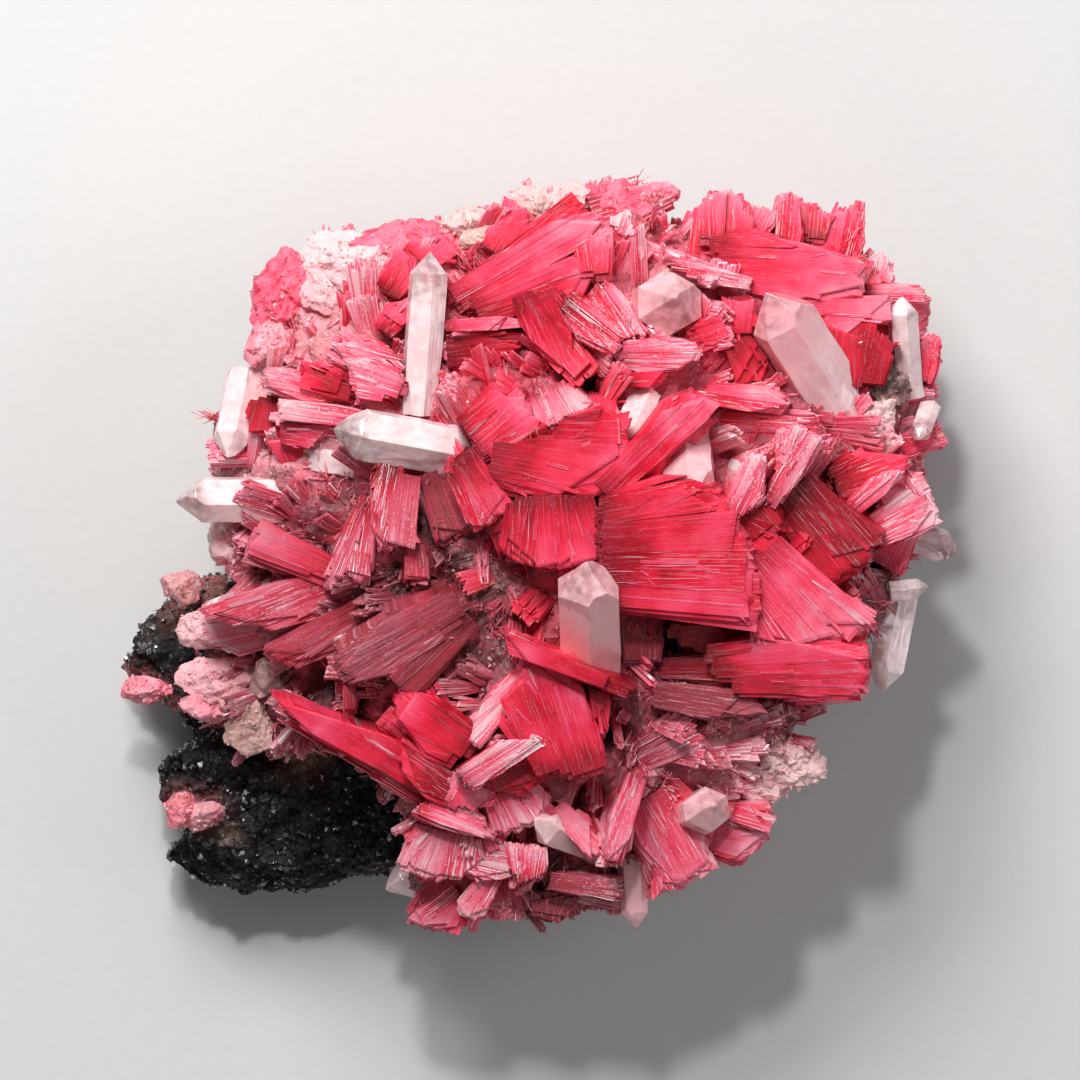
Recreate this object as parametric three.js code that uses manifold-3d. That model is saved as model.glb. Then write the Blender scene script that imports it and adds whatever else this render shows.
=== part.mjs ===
// A rhodonite specimen: a crust of rose-red rhodonite blades on dark manganese-rich rock, with
// points of quartz grown on and between the blades. It lies on its rock, crystals up.
// Millimetres, +Z up. X runs to the right and Y to the top as one looks down on the crystals. The
// origin is under the middle of the specimen, on the surface that it rests on.

import * as THREE from "three";
import { ConvexGeometry } from "three/addons/geometries/ConvexGeometry.js";
import { mergeVertices } from "three/addons/utils/BufferGeometryUtils.js";
import Module from "manifold-3d";

const wasm = await Module();
wasm.setup();

// Driving dimensions
const ROCK_TOP = 17.0; // highest point of the dark rock, under the crust
const CRUST_RIM = 14.0; // height of the crust's dome at its rim
const CRUST_RISE = 19.0; // height of the dome over its rim
const CRUST_UNDERSIDE = 7.5; // where the crust turns in under its rim to the rock
const DOME_CENTRE = [3, 0];
const DOME_RADII = [43, 42];
const HOLLOW = { at: [-31, -12], depth: 7, spread: 8 }; // the low left corner of the dome
const BURIED = 3; // how deep a blade starts under the dome
const GAP = 0.3; // clearance between two minerals
const QUARTZ_SLOPE = THREE.MathUtils.degToRad(38.2); // angle of a point's faces to its axis

// Looks of the minerals
const RHODONITE = new THREE.MeshStandardMaterial({ color: 0xd8405c, roughness: 0.35, metalness: 0 });
const QUARTZ = new THREE.MeshStandardMaterial({ color: 0xf0dcdf, roughness: 0.1, metalness: 0 });
const ROCK = new THREE.MeshStandardMaterial({ color: 0x1d1c1c, roughness: 0.7, metalness: 0.1 });

// Outline of the crust, seen from above, anticlockwise from its upper left corner.
const CRUST_OUTLINE = [
  [-26.4, 28.2], [-26.1, 25.4], [-25.4, 23.4], [-28.6, 19.4], [-31.6, 17.4], [-32.8, 13.6], [-32.8, 6.4],
  [-32.5, 2.9], [-28.5, -0.6], [-30.0, -3.6], [-34.0, -6.1], [-34.5, -9.6], [-35.5, -13.6], [-35.6, -16.6],
  [-31.5, -17.8], [-29.8, -19.6], [-26.5, -20.4], [-23.0, -18.8], [-19.0, -20.6], [-15.5, -23.1],
  [-12.9, -26.1], [-13.4, -29.6], [-13.0, -33.6], [-11.5, -36.0], [-7.0, -36.4], [-2.0, -36.0], [3.0, -36.0],
  [8.0, -35.2], [13.0, -33.0], [17.0, -30.8], [20.5, -28.9], [22.3, -26.1], [22.8, -23.0], [25.8, -17.2],
  [28.0, -12.6], [32.0, -9.6], [35.0, -5.4], [36.6, -0.6], [37.4, 8.4], [38.2, 15.0], [37.0, 22.2],
  [34.6, 26.2], [31.6, 29.2], [28.8, 31.6], [24.0, 33.0], [16.0, 33.4], [13.0, 32.6], [11.0, 33.4],
  [11.6, 35.4], [9.4, 37.6], [5.0, 36.7], [-3.0, 35.9], [-6.2, 33.6], [-9.3, 32.5], [-14.0, 32.4],
  [-17.2, 32.1], [-18.8, 31.4], [-20.8, 31.9], [-22.6, 30.5],
];

// Outline of the rock. It shows at the left and the lower left, and elsewhere lies under the crust.
const ROCK_OUTLINE = [
  [-42.1, -11.4], [-40.5, -13.6], [-38.0, -15.4], [-35.2, -18.1], [-35.4, -19.1], [-38.8, -21.4],
  [-38.5, -23.1], [-38.8, -24.6], [-37.4, -26.6], [-36.0, -28.4], [-38.2, -30.8], [-36.0, -32.2],
  [-32.5, -33.9], [-30.8, -34.9], [-28.0, -34.4], [-24.0, -34.4], [-21.3, -33.8], [-19.0, -32.8],
  [-16.8, -32.8], [-13.6, -34.0], [-8.0, -33.2], [4.0, -32.0], [13.0, -29.0], [19.0, -24.6], [22.0, -17.0],
  [28.0, -10.0], [32.6, -2.0], [33.4, 8.0], [33.0, 17.0], [29.6, 24.0], [22.4, 28.4], [13.0, 29.0],
  [5.0, 31.6], [-5.0, 30.4], [-14.0, 28.2], [-21.0, 25.0], [-25.0, 19.2], [-28.6, 12.0], [-30.0, 5.0],
  [-29.6, 0.6], [-31.0, -2.0], [-34.0, -2.2], [-35.7, -3.4], [-38.0, -4.8], [-40.7, -7.1],
];

// Groups of parallel or splayed blades grown together. Each row: where the group starts and ends
// [x, y, x, y], its end's height over the dome, its width at the start and at the end, its
// thickness, and the turn about its own length in degrees, where 0 shows its broad face upwards.
const BLADES = {
  "top red fan": [-9.5, 24.2, 6.0, 31.9, 4.0, 3.0, 9.5, 4.0, 10],
  "top centre fan": [6.3, 26.0, 6.4, 33.2, 3.0, 1.2, 6.5, 2.0, -10],
  "top pale fan": [6.5, 26.0, 9.6, 31.6, 2.0, 1.2, 4.5, 2.0, 15],
  "top slanting stack": [5.6, 26.9, 10.5, 20.9, 3.5, 2.4, 2.8, 2.6, 55],
  "top grey stack": [2.4, 25.2, 8.0, 18.4, 3.0, 3.6, 3.8, 3.0, 50],
  "upper red blade": [-2.5, 26.4, 4.8, 17.2, 4.0, 5.0, 3.0, 3.0, 5],
  "cross lath": [-1.5, 22.7, -9.2, 22.1, 3.5, 1.4, 1.2, 1.2, 20],
  "top edge tablet": [-4.0, 29.4, -1.6, 35.2, 1.5, 3.0, 4.2, 2.6, 10],
  "hook slab": [5.0, 33.4, 13.6, 36.3, 0.5, 5.0, 2.6, 4.6, 0],
  "tall tablet": [18.8, 26.4, 18.7, 36.4, 2.5, 4.0, 3.6, 3.0, 15],
  "crest stack": [25.0, 26.4, 24.7, 36.1, 4.0, 3.0, 1.8, 3.0, 60],
  "crest tablet": [26.0, 26.4, 27.6, 34.9, 2.5, 5.0, 5.0, 2.8, 5],
  "crest point": [27.5, 25.4, 31.5, 34.6, 3.0, 5.0, 3.2, 3.0, 10],
  "crest step": [30.0, 25.4, 32.4, 30.0, 3.0, 3.0, 2.6, 2.6, 20],
  "pale crest tablet": [31.0, 25.4, 34.5, 30.0, 2.0, 4.0, 3.2, 2.8, 0],
  "right striated block": [31.5, 22.4, 38.8, 24.6, 3.0, 5.0, 5.0, 3.4, 35],
  "right edge fan": [36.0, 18.4, 40.2, 20.9, 2.5, 2.0, 3.6, 2.2, 20],
  "right lower fan": [35.5, 10.4, 40.5, 12.3, 2.5, 2.2, 3.4, 2.2, 10],
  "right red wall": [31.0, 14.4, 31.2, 24.4, 2.0, 6.0, 7.5, 3.0, 5],
  "upper right field": [24.0, 21.4, 26.0, 31.0, 3.5, 8.0, 10.0, 3.2, -5],
  "white laths": [10.0, 30.4, 17.8, 27.4, 4.0, 2.6, 2.4, 2.0, 45],
  "pink ledge": [15.0, 16.4, 9.6, 21.0, 3.0, 5.0, 5.0, 3.0, -10],
  "ledge stack": [14.6, 17.2, 18.8, 22.2, 2.5, 3.0, 4.8, 2.6, 25],
  "upper red slab": [20.5, 15.4, 20.0, 23.9, 2.5, 3.5, 3.8, 2.8, 15],
  "centre left plate": [0.5, 8.0, -5.0, 14.9, 4.0, 6.0, 7.4, 3.4, -15],
  "centre pale plates": [2.0, 10.0, 2.2, 16.4, 4.0, 3.2, 5.4, 2.6, -20],
  "heart fan": [3.5, 3.2, 2.2, 13.0, 6.5, 6.0, 11.5, 4.0, 0],
  "sweeping blade": [5.5, 5.0, 15.6, 14.6, 6.5, 3.6, 4.6, 3.0, 20],
  "sweeping laths": [16.0, 13.2, 28.0, 12.6, 4.0, 3.6, 3.2, 2.8, 35],
  "lower centre plate": [3.5, 7.4, 0.4, -1.4, 4.5, 6.0, 8.0, 3.2, 0],
  "great striated plate": [20.0, -0.4, 6.8, 0.0, 4.6, 9.0, 11.0, 4.0, 0],
  "bright pink plate": [19.0, 2.8, 25.0, -7.6, 6.0, 4.0, 6.6, 3.2, 5],
  "pale flank": [22.0, 0.6, 27.2, -3.8, 5.0, 3.0, 3.6, 2.4, -15],
  "long wedge": [12.0, -11.4, 32.4, -11.2, 6.0, 2.2, 4.9, 3.6, 5],
  "wedge ridge laths": [23.0, -6.2, 32.6, -9.0, 5.0, 2.2, 2.6, 2.2, 30],
  "pale ridge laths": [26.0, -2.6, 32.8, -7.4, 3.2, 3.2, 4.0, 2.4, 20],
  "dark red plates": [23.0, 7.4, 30.2, 0.4, 3.0, 5.0, 6.0, 3.0, 0],
  "dark red step": [21.5, 4.4, 26.2, -0.4, 4.5, 4.0, 4.0, 2.6, 15],
  "glinting stack, left": [18.0, 3.6, 22.2, 10.4, 6.5, 3.2, 3.0, 3.0, 60],
  "glinting stack, right": [22.6, 4.4, 27.8, 11.8, 6.0, 3.6, 4.0, 3.4, 60],
  "right pale fan": [31.0, 8.6, 34.6, 13.2, 2.5, 3.0, 5.4, 2.4, 10],
  "right red laths": [30.4, 4.4, 35.6, 7.4, 4.0, 2.2, 2.2, 2.2, 50],
  "right red field": [28.0, 5.0, 33.6, 9.2, 2.8, 4.4, 4.4, 2.6, 10],
  "right clear plate": [34.6, -1.0, 38.4, 6.4, 3.0, 4.2, 2.4, 3.0, 0],
  "right druse blade": [33.0, -4.8, 30.8, -1.0, 2.0, 3.2, 3.6, 2.2, 10],
  "left long stack": [-12.0, 12.0, -26.6, 15.4, 3.5, 4.4, 5.8, 4.0, 40],
  "upper left stack": [-12.0, 14.9, -21.2, 20.6, 4.0, 4.2, 5.2, 3.6, 35],
  "left red plate": [-22.0, 7.4, -24.6, 13.2, 1.5, 5.0, 6.6, 2.8, 0],
  "spiky tuft": [-18.7, 21.4, -18.0, 27.4, 3.5, 1.6, 4.6, 2.2, 0],
  "upper left blades": [-15.5, 21.4, -12.4, 30.2, 2.5, 3.4, 5.0, 3.0, 20],
  "upper left back blades": [-14.0, 24.0, -9.6, 31.4, 1.5, 3.0, 4.4, 2.6, 25],
  "glinting foot": [-6.8, 12.4, -9.6, 17.2, 4.0, 2.8, 2.8, 2.2, 50],
  "brick stack": [-15.5, 8.4, -14.2, 0.7, 4.0, 3.0, 4.3, 3.2, 30],
  "splayed laths": [-16.8, 6.4, -19.4, -3.5, 3.5, 1.2, 4.6, 2.0, 0],
  "glinting bundle": [-10.5, 14.0, -4.7, 3.8, 5.0, 3.2, 4.4, 3.6, 40],
  "shaded bundle": [-12.0, 11.0, -8.4, 1.4, 2.5, 3.2, 4.6, 3.2, 25],
  "thin blade": [-6.3, 5.0, -5.4, -3.5, 2.2, 3.0, 0.8, 1.4, 0],
  "blunt left lath": [-22.0, -2.4, -28.8, 1.1, 2.5, 3.0, 2.8, 3.0, 0],
  "left lower fan": [-16.5, -3.6, -28.5, -8.4, 3.0, 4.4, 8.6, 4.0, 0],
  "great lath bundle": [-8.0, -4.4, -19.4, -11.2, 5.0, 4.0, 4.2, 4.0, 35],
  "second lath bundle": [-7.4, -6.8, -13.4, -12.4, 3.0, 3.4, 3.2, 3.0, 35],
  "third lath bundle": [-4.0, -7.0, -11.0, -13.4, 1.4, 3.0, 3.0, 2.6, 25],
  "long red lath": [-8.5, -24.2, -26.4, -14.6, 5.0, 4.6, 1.4, 3.2, 20],
  "spiky red fan": [-7.0, -22.1, -13.4, -14.2, 4.0, 4.2, 7.4, 3.2, 0],
  "spear": [9.5, -13.6, -3.6, -7.9, 7.0, 1.6, 1.2, 2.2, 20],
  "lower red plate": [0.6, -12.6, 2.0, -22.0, 5.0, 8.4, 9.4, 4.0, 0],
  "pale plate edge": [0.5, -13.4, -6.0, -18.2, 3.2, 3.4, 4.2, 2.8, 0],
  "silver laths": [-7.2, -22.3, -3.3, -18.6, 6.0, 3.0, 2.8, 2.2, 50],
  "pink shelf": [-3.6, -24.2, -7.0, -27.8, 3.0, 6.0, 6.0, 3.0, 0],
  "bottom left plate": [-6.0, -28.4, -13.0, -30.4, 3.0, 4.4, 5.4, 3.0, 15],
  "bottom left point": [-7.0, -31.4, -12.9, -36.8, 3.0, 3.2, 2.8, 2.6, 35],
  "bottom plate": [-6.0, -30.4, -8.8, -37.2, 3.0, 4.4, 5.2, 2.8, 10],
  "bottom stack": [-2.0, -28.0, -1.2, -33.2, 5.0, 3.2, 3.6, 2.6, 45],
  "bottom grey laths": [0.0, -32.4, 8.0, -34.4, 3.5, 2.6, 2.4, 2.2, 40],
  "upright laths": [8.8, -21.0, 6.8, -31.4, 6.0, 2.4, 3.0, 2.6, 35],
  "lower right fan": [10.0, -24.4, 14.6, -32.6, 3.0, 4.4, 8.4, 3.2, 0],
  "lower right plate": [11.0, -22.4, 17.0, -29.8, 3.0, 4.4, 7.4, 3.2, 5],
  "lower right laths": [16.0, -26.0, 23.3, -26.8, 3.0, 3.2, 4.2, 2.6, 15],
};

// Groups that stand out from the crust's side walls, below its rim. Each row: where the group
// starts and ends [x, y, z, x, y, z], then the same four numbers as above.
const WALL_BLADES = {
  "far wall, left": [-15.0, 28.0, 15.0, -15.6, 31.6, 19.4, 6.0, 7.6, 3.0, 20],
  "far wall, middle": [-2.0, 30.0, 14.0, -3.0, 35.0, 17.4, 5.0, 8.4, 3.0, -15],
  "far wall, right": [9.0, 31.0, 12.6, 9.6, 35.8, 15.4, 5.0, 7.0, 2.8, 35],
  "far right corner": [22.0, 28.0, 12.0, 24.6, 32.4, 16.0, 5.0, 8.0, 3.0, 0],
  "right wall, far": [31.6, 20.0, 13.0, 36.8, 22.4, 17.0, 5.0, 7.4, 3.2, 25],
  "right wall, middle": [33.0, 9.0, 13.0, 38.6, 10.0, 15.4, 4.4, 8.0, 3.0, -20],
  "right wall, near": [31.0, -2.0, 12.0, 35.6, -4.4, 14.2, 5.0, 6.4, 3.0, 30],
  "near right wall": [24.0, -12.0, 13.0, 28.6, -14.4, 17.0, 5.0, 7.0, 3.0, 0],
  "near wall, right": [17.0, -25.0, 12.0, 20.6, -29.0, 14.2, 5.0, 7.0, 3.0, 20],
  "near wall, middle": [5.0, -31.0, 13.0, 4.6, -35.8, 15.6, 5.0, 8.4, 3.0, -20],
  "near wall, left": [-6.0, -31.0, 12.6, -7.6, -36.4, 17.0, 4.0, 6.4, 2.8, 25],
  "left wall, far": [-24.6, 20.0, 15.0, -28.4, 21.4, 17.6, 4.0, 6.0, 2.8, 10],
  "left wall, near": [-28.0, 7.0, 15.0, -32.8, 6.0, 18.0, 4.0, 6.4, 2.8, -15],
};
const POINTED = ["crest point", "spear", "thin blade", "long red lath", "bottom left point"];
const RAGGED = ["spiky tuft", "spiky red fan", "splayed laths", "long wedge", "top centre fan"];

// Rounded lumps of massive rhodonite: centre, then half sizes along x, y and z.
const LUMPS = [
  [-32.2, -13.4, 16.5, 3.4, 3.2, 3.6],
  [-28.2, -17.2, 16.5, 3.2, 3.4, 3.8],
  [-30.4, -7.2, 17.5, 4.4, 2.8, 3.6],
  [-22.5, 28.0, 22.0, 4.0, 3.6, 3.2],
];

// Quartz crystals. Each row: the middle of the foot [x, y, z], the tip [x, y, z], the width across
// the prism, how flat the prism is (1 is regular), and its roll about its own length in degrees.
const QUARTZ_CRYSTALS = {
  quartz_upright: [-12.0, 14.0, 29.2, -10.9, 30.1, 31.8, 3.9, 1.0, 12],
  quartz_lying: [-7.0, 9.9, 30.4, -20.5, 12.4, 35.4, 5.6, 0.72, 6],
  quartz_left_point: [-25.6, 5.4, 24.8, -36.4, 5.3, 26.6, 5.0, 0.8, 0],
  quartz_left_inner: [-25.4, 10.2, 25.2, -15.6, 8.4, 29.8, 4.2, 0.85, 20],
  quartz_centre: [5.0, -12.4, 31.0, 4.6, -0.7, 41.6, 6.8, 0.8, 0],
  quartz_upper_right: [30.2, 14.2, 24.8, 22.4, 26.0, 33.0, 6.9, 0.85, 24],
  quartz_end_on_top: [11.8, 24.2, 24.5, 13.6, 25.4, 35.0, 7.0, 0.9, 10],
  quartz_middle: [14.4, 12.8, 29.4, 15.0, 4.9, 38.6, 5.6, 0.9, 15],
  quartz_right_tooth: [36.2, 2.2, 21.6, 42.1, 0.1, 20.6, 3.6, 0.85, 20],
  quartz_lower_right: [36.4, -3.4, 20.0, 34.3, -13.9, 21.5, 4.6, 0.85, 10],
  quartz_right_small: [35.0, -3.8, 24.6, 38.9, -3.3, 24.4, 2.4, 1.0, 0],
  quartz_bottom_point: [9.2, -30.6, 25.4, 9.6, -37.4, 26.5, 2.9, 0.9, 10],
  quartz_end_on_low: [14.8, -26.6, 23.0, 17.4, -25.0, 33.5, 5.4, 0.85, 20],
  quartz_low_pale: [6.2, -29.2, 26.0, -0.6, -26.4, 32.2, 4.6, 0.8, 30],
  quartz_right_edge: [39.0, 14.6, 21.6, 37.8, 11.4, 26.2, 2.6, 0.9, 20],
  quartz_right_tall: [37.0, 15.8, 21.6, 36.2, 25.8, 25.4, 3.2, 0.9, 10],
  quartz_centre_pale: [10.6, 15.6, 30.2, 8.0, 10.0, 34.8, 4.4, 0.8, 0],
  quartz_left_block: [-29.6, 18.0, 21.0, -31.2, 9.6, 26.0, 4.4, 0.8, 15],
  quartz_foot: [-9.5, -31.0, 14.5, -15.6, -33.8, 16.2, 4.6, 0.8, 10],
};

// A fixed number from 0 to 1 for a whole number, the same at every run.
function chance(k) {
  const wave = Math.sin(k * 12.9898 + 4.1) * 43758.5453;
  return wave - Math.floor(wave);
}

// Height of the crust's smooth dome over a place in the plan.
function dome(x, y) {
  const across = (x - DOME_CENTRE[0]) / DOME_RADII[0];
  const along = (y - DOME_CENTRE[1]) / DOME_RADII[1];
  const round = Math.sqrt(Math.max(0, 1 - across * across - along * along));
  const away = Math.hypot(x - HOLLOW.at[0], y - HOLLOW.at[1]) / HOLLOW.spread;
  return CRUST_RIM + CRUST_RISE * round - HOLLOW.depth * Math.exp((-away * away) / 2);
}

// A closed three.js geometry as a solid that can be joined and cut.
function solidOf(geometry) {
  const bare = geometry.clone();
  for (const name of Object.keys(bare.attributes)) {
    if (name !== "position") bare.deleteAttribute(name);
  }
  const merged = mergeVertices(bare, 1e-4);
  const index = merged.index.array;
  const triVerts = [];
  for (let i = 0; i < index.length; i += 3) {
    const [a, b, c] = [index[i], index[i + 1], index[i + 2]];
    if (a !== b && b !== c && c !== a) triVerts.push(a, b, c);
  }
  const vertProperties = new Float32Array(merged.attributes.position.array);
  return new wasm.Manifold(
    new wasm.Mesh({ numProp: 3, vertProperties, triVerts: new Uint32Array(triVerts) }),
  );
}

// A solid as a named mesh.
function meshOf(name, solid, material) {
  const made = solid.getMesh();
  const geometry = new THREE.BufferGeometry();
  geometry.setAttribute("position", new THREE.BufferAttribute(made.vertProperties, 3));
  geometry.setIndex(new THREE.BufferAttribute(made.triVerts, 1));
  geometry.computeVertexNormals();
  const mesh = new THREE.Mesh(geometry, material);
  mesh.name = name;
  return mesh;
}

// A mound on an outline: rings of points from the middle out to the edge, a wall, and a flat
// underside. Each ring is [share of the outline's reach, height as a function of x and y].
function mound(outline, middle, rings, underside) {
  const points = [];
  const add = (x, y, z) => points.push(x, y, z) / 3 - 1;
  const loops = rings.map(([share, height]) =>
    outline.map((corner) => {
      const x = middle[0] + (corner[0] - middle[0]) * share;
      const y = middle[1] + (corner[1] - middle[1]) * share;
      return add(x, y, height(x, y));
    }),
  );
  const peak = add(middle[0], middle[1], rings[0][1](...middle));
  const base = add(middle[0], middle[1], underside);
  const faces = [];
  for (let k = 0; k < outline.length; k++) {
    const next = (k + 1) % outline.length;
    faces.push(peak, loops[0][k], loops[0][next]);
    for (let r = 1; r < loops.length; r++) {
      faces.push(loops[r - 1][k], loops[r][k], loops[r][next]);
      faces.push(loops[r - 1][k], loops[r][next], loops[r - 1][next]);
    }
    faces.push(base, loops.at(-1)[next], loops.at(-1)[k]);
  }
  const geometry = new THREE.BufferGeometry();
  geometry.setAttribute("position", new THREE.Float32BufferAttribute(points, 3));
  geometry.setIndex(faces);
  return geometry;
}

// The dark rock: a broken block with a flat underside, its skin moved out by grow.
function rock(grow) {
  const ROUGH = 1.6; // height of its ledges
  const top = (z) => (x, y) => {
    const ledge = Math.sin(x * 0.9 + 1.3 * Math.sin(y * 0.6)) * Math.cos(y * 0.8 - 0.4 * x);
    return z - ROUGH * (0.5 + 0.5 * ledge) + grow;
  };
  const level = (z) => () => z;
  const wider = grow / 24; // share of the reach that moves the wall out by grow
  const rings = [
    [0.62, top(ROCK_TOP - 1.2)], [0.78, top(14.2)], [0.9, top(12.6)],
    [0.985 + wider, top(9.4)], [1 + wider, level(5.6)], [0.97 + wider, level(2.4)],
    [0.91 + wider, level(-grow)],
  ];
  return mound(ROCK_OUTLINE, [-4, -3], rings, -grow);
}

// The massive part of the crust, under the blades. It bulges out over the rock all round, except
// at the lower left, where it ends on top of the rock.
function crustMound() {
  const rough = (x, y) => 0.7 * Math.sin(0.7 * x + 0.9) * Math.cos(0.8 * y);
  const sunk = (drop) => (x, y) => dome(x, y) + rough(x, y) - drop;
  const uneven = (z) => (x, y) => z + 1.6 * Math.sin(0.31 * x + 1.1) * Math.cos(0.23 * y);
  const rings = [
    [0.4, sunk(0)], [0.7, sunk(0)], [0.88, sunk(0.6)], [0.96, sunk(2)], [1.0, sunk(4.2)],
    [0.97, uneven(CRUST_UNDERSIDE + 3)], [0.9, uneven(CRUST_UNDERSIDE)],
  ];
  return mound(CRUST_OUTLINE, [2, 1], rings, CRUST_UNDERSIDE);
}

// One group of blades as a stepped plate between two points. Its outline lies in x and y, with y
// along the blades.
function bladeGroup(name, start, end, [startWidth, endWidth, thickness, turn], seed) {
  const length = end.distanceTo(start);
  const steps = POINTED.includes(name) ? 1 : endWidth < 7.5 ? 2 : 3;
  const ragged = RAGGED.includes(name) ? 0.24 : 0.09;
  const shape = new THREE.Shape();
  shape.moveTo(-startWidth / 2, 0);
  shape.lineTo(startWidth / 2, 0);
  for (let i = 0; i < steps; i++) {
    const reach = length * (1 - ragged * chance(seed * 7 + i));
    const slant = POINTED.includes(name) ? 0.16 : ragged * 0.6 * chance(seed * 11 + i);
    shape.lineTo(endWidth * (0.5 - i / steps), reach * (1 - slant));
    shape.lineTo(endWidth * (0.5 - (i + 1) / steps), reach);
  }
  shape.closePath();
  const plate = new THREE.ExtrudeGeometry(shape, { depth: thickness, bevelEnabled: false });
  plate.translate(0, 0, -thickness / 2);
  const along = end.clone().sub(start).normalize();
  const up = new THREE.Vector3(0, 0, 1).addScaledVector(along, -along.z).normalize();
  up.applyAxisAngle(along, THREE.MathUtils.degToRad(turn));
  const across = new THREE.Vector3().crossVectors(along, up);
  const place = new THREE.Matrix4().makeBasis(across, along, up).setPosition(start);
  return plate.applyMatrix4(place);
}

// A group on the dome starts under its surface and ends at its own height over it.
function domeGroup([name, [x0, y0, x1, y1, lift, ...sizes]], seed) {
  const start = new THREE.Vector3(x0, y0, dome(x0, y0) - BURIED);
  const end = new THREE.Vector3(x1, y1, dome(x1, y1) + lift - sizes[2] / 2);
  return bladeGroup(name, start, end, sizes, seed);
}

function wallGroup([name, [x0, y0, z0, x1, y1, z1, ...sizes]], seed) {
  return bladeGroup(name, new THREE.Vector3(x0, y0, z0), new THREE.Vector3(x1, y1, z1), sizes, seed);
}

// A rounded lump with a few broad facets.
function lump([x, y, z, rx, ry, rz]) {
  return new THREE.IcosahedronGeometry(1, 1).scale(rx, ry, rz).translate(x, y, z);
}

// Corners of the solid that a set of planes bounds, each plane [outward normal, distance].
function cornersOf(planes) {
  const corners = [];
  for (let i = 0; i < planes.length; i++) {
    for (let j = i + 1; j < planes.length; j++) {
      for (let k = j + 1; k < planes.length; k++) {
        const [a, b, c] = [planes[i], planes[j], planes[k]];
        const bc = new THREE.Vector3().crossVectors(b[0], c[0]);
        const det = a[0].dot(bc);
        if (Math.abs(det) < 1e-6) continue;
        const corner = bc.multiplyScalar(a[1]);
        corner.addScaledVector(new THREE.Vector3().crossVectors(c[0], a[0]), b[1]);
        corner.addScaledVector(new THREE.Vector3().crossVectors(a[0], b[0]), c[1]);
        corner.divideScalar(det);
        if (planes.every(([n, d]) => n.dot(corner) < d + 1e-6)) corners.push(corner);
      }
    }
  }
  return corners;
}

// A quartz crystal: six prism faces, six faces to its point, and a flat foot, all moved out by
// grow. The point's faces sit at uneven heights, as they do in nature.
function quartz(row, seed, grow) {
  const [x0, y0, z0, x1, y1, z1, width, flat, roll] = row;
  const foot = new THREE.Vector3(x0, y0, z0);
  const axis = new THREE.Vector3(x1, y1, z1).sub(foot);
  const length = axis.length();
  const planes = [[new THREE.Vector3(0, -1, 0), grow]];
  for (let i = 0; i < 6; i++) {
    const angle = (i * Math.PI) / 3;
    const out = new THREE.Vector3(Math.cos(angle), 0, Math.sin(angle));
    const squeeze = Math.hypot(Math.cos(angle), flat * Math.sin(angle));
    const reach = (width / 2) * 0.9 * squeeze * (0.92 + 0.16 * chance(seed * 13 + i));
    planes.push([out, reach + grow]);
    const slope = out.multiplyScalar(Math.cos(QUARTZ_SLOPE)).clone();
    slope.y = Math.sin(QUARTZ_SLOPE);
    out.divideScalar(Math.cos(QUARTZ_SLOPE));
    const uneven = (i % 2 ? 0.16 : 0) * width * chance(seed * 17 + i);
    planes.push([slope, (length + uneven) * slope.y + grow]);
  }
  const geometry = new ConvexGeometry(cornersOf(planes));
  const turn = new THREE.Quaternion().setFromUnitVectors(new THREE.Vector3(0, 1, 0), axis.normalize());
  geometry.rotateY(THREE.MathUtils.degToRad(roll));
  return geometry.applyQuaternion(turn).translate(x0, y0, z0);
}

// The crust with its blades and lumps, less the room of the rock and of the quartz. A cut can
// leave loose crumbs of a blade, and the largest body is the one to keep.
function rhodoniteSolid(crystals) {
  const onDome = Object.entries(BLADES).map((entry, i) => domeGroup(entry, i + 1));
  const onWalls = Object.entries(WALL_BLADES).map((entry, i) => wallGroup(entry, i + 201));
  const pieces = [crustMound(), ...LUMPS.map(lump), ...onDome, ...onWalls];
  const joined = pieces.map(solidOf).reduce((a, b) => a.add(b));
  const sockets = crystals.map(([, row], i) => solidOf(quartz(row, i + 1, GAP)));
  const cut = [solidOf(rock(GAP)), ...sockets].reduce((a, b) => a.subtract(b), joined);
  return cut.decompose().reduce((a, b) => (b.volume() > a.volume() ? b : a));
}

const specimen = new THREE.Group();
const crystals = Object.entries(QUARTZ_CRYSTALS);
specimen.add(meshOf("matrix", solidOf(rock(0)), ROCK));
specimen.add(meshOf("rhodonite", rhodoniteSolid(crystals), RHODONITE));
for (const [i, [name, row]] of crystals.entries()) {
  specimen.add(meshOf(name, solidOf(quartz(row, i + 1, 0)), QUARTZ));
}

export default specimen;
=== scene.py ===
import math

import bpy
import numpy as np
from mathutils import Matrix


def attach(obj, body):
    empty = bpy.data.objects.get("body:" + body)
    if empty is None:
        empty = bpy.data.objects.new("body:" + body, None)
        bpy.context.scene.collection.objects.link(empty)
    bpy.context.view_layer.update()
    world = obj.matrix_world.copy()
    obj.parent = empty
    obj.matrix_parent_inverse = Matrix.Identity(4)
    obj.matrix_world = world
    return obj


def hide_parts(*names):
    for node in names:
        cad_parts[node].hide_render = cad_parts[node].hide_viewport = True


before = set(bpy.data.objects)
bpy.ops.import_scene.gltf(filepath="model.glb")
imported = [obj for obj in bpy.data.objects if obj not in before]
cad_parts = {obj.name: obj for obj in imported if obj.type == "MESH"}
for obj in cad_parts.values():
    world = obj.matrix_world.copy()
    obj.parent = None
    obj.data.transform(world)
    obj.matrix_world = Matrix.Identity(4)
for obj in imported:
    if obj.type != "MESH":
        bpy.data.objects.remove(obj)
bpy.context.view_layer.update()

# Camera. The specimen lies on its rock, so the camera looks straight down on the crystals, with the
# top of the picture towards +Y. A long lens keeps the low rock and the high blades at one scale.
CAMERA_HEIGHT = 1.3  # metres over the floor
FRAME_WIDTH = 0.108  # metres that the picture spans at the crystals' middle height
MIDDLE_HEIGHT = 0.025
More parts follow.
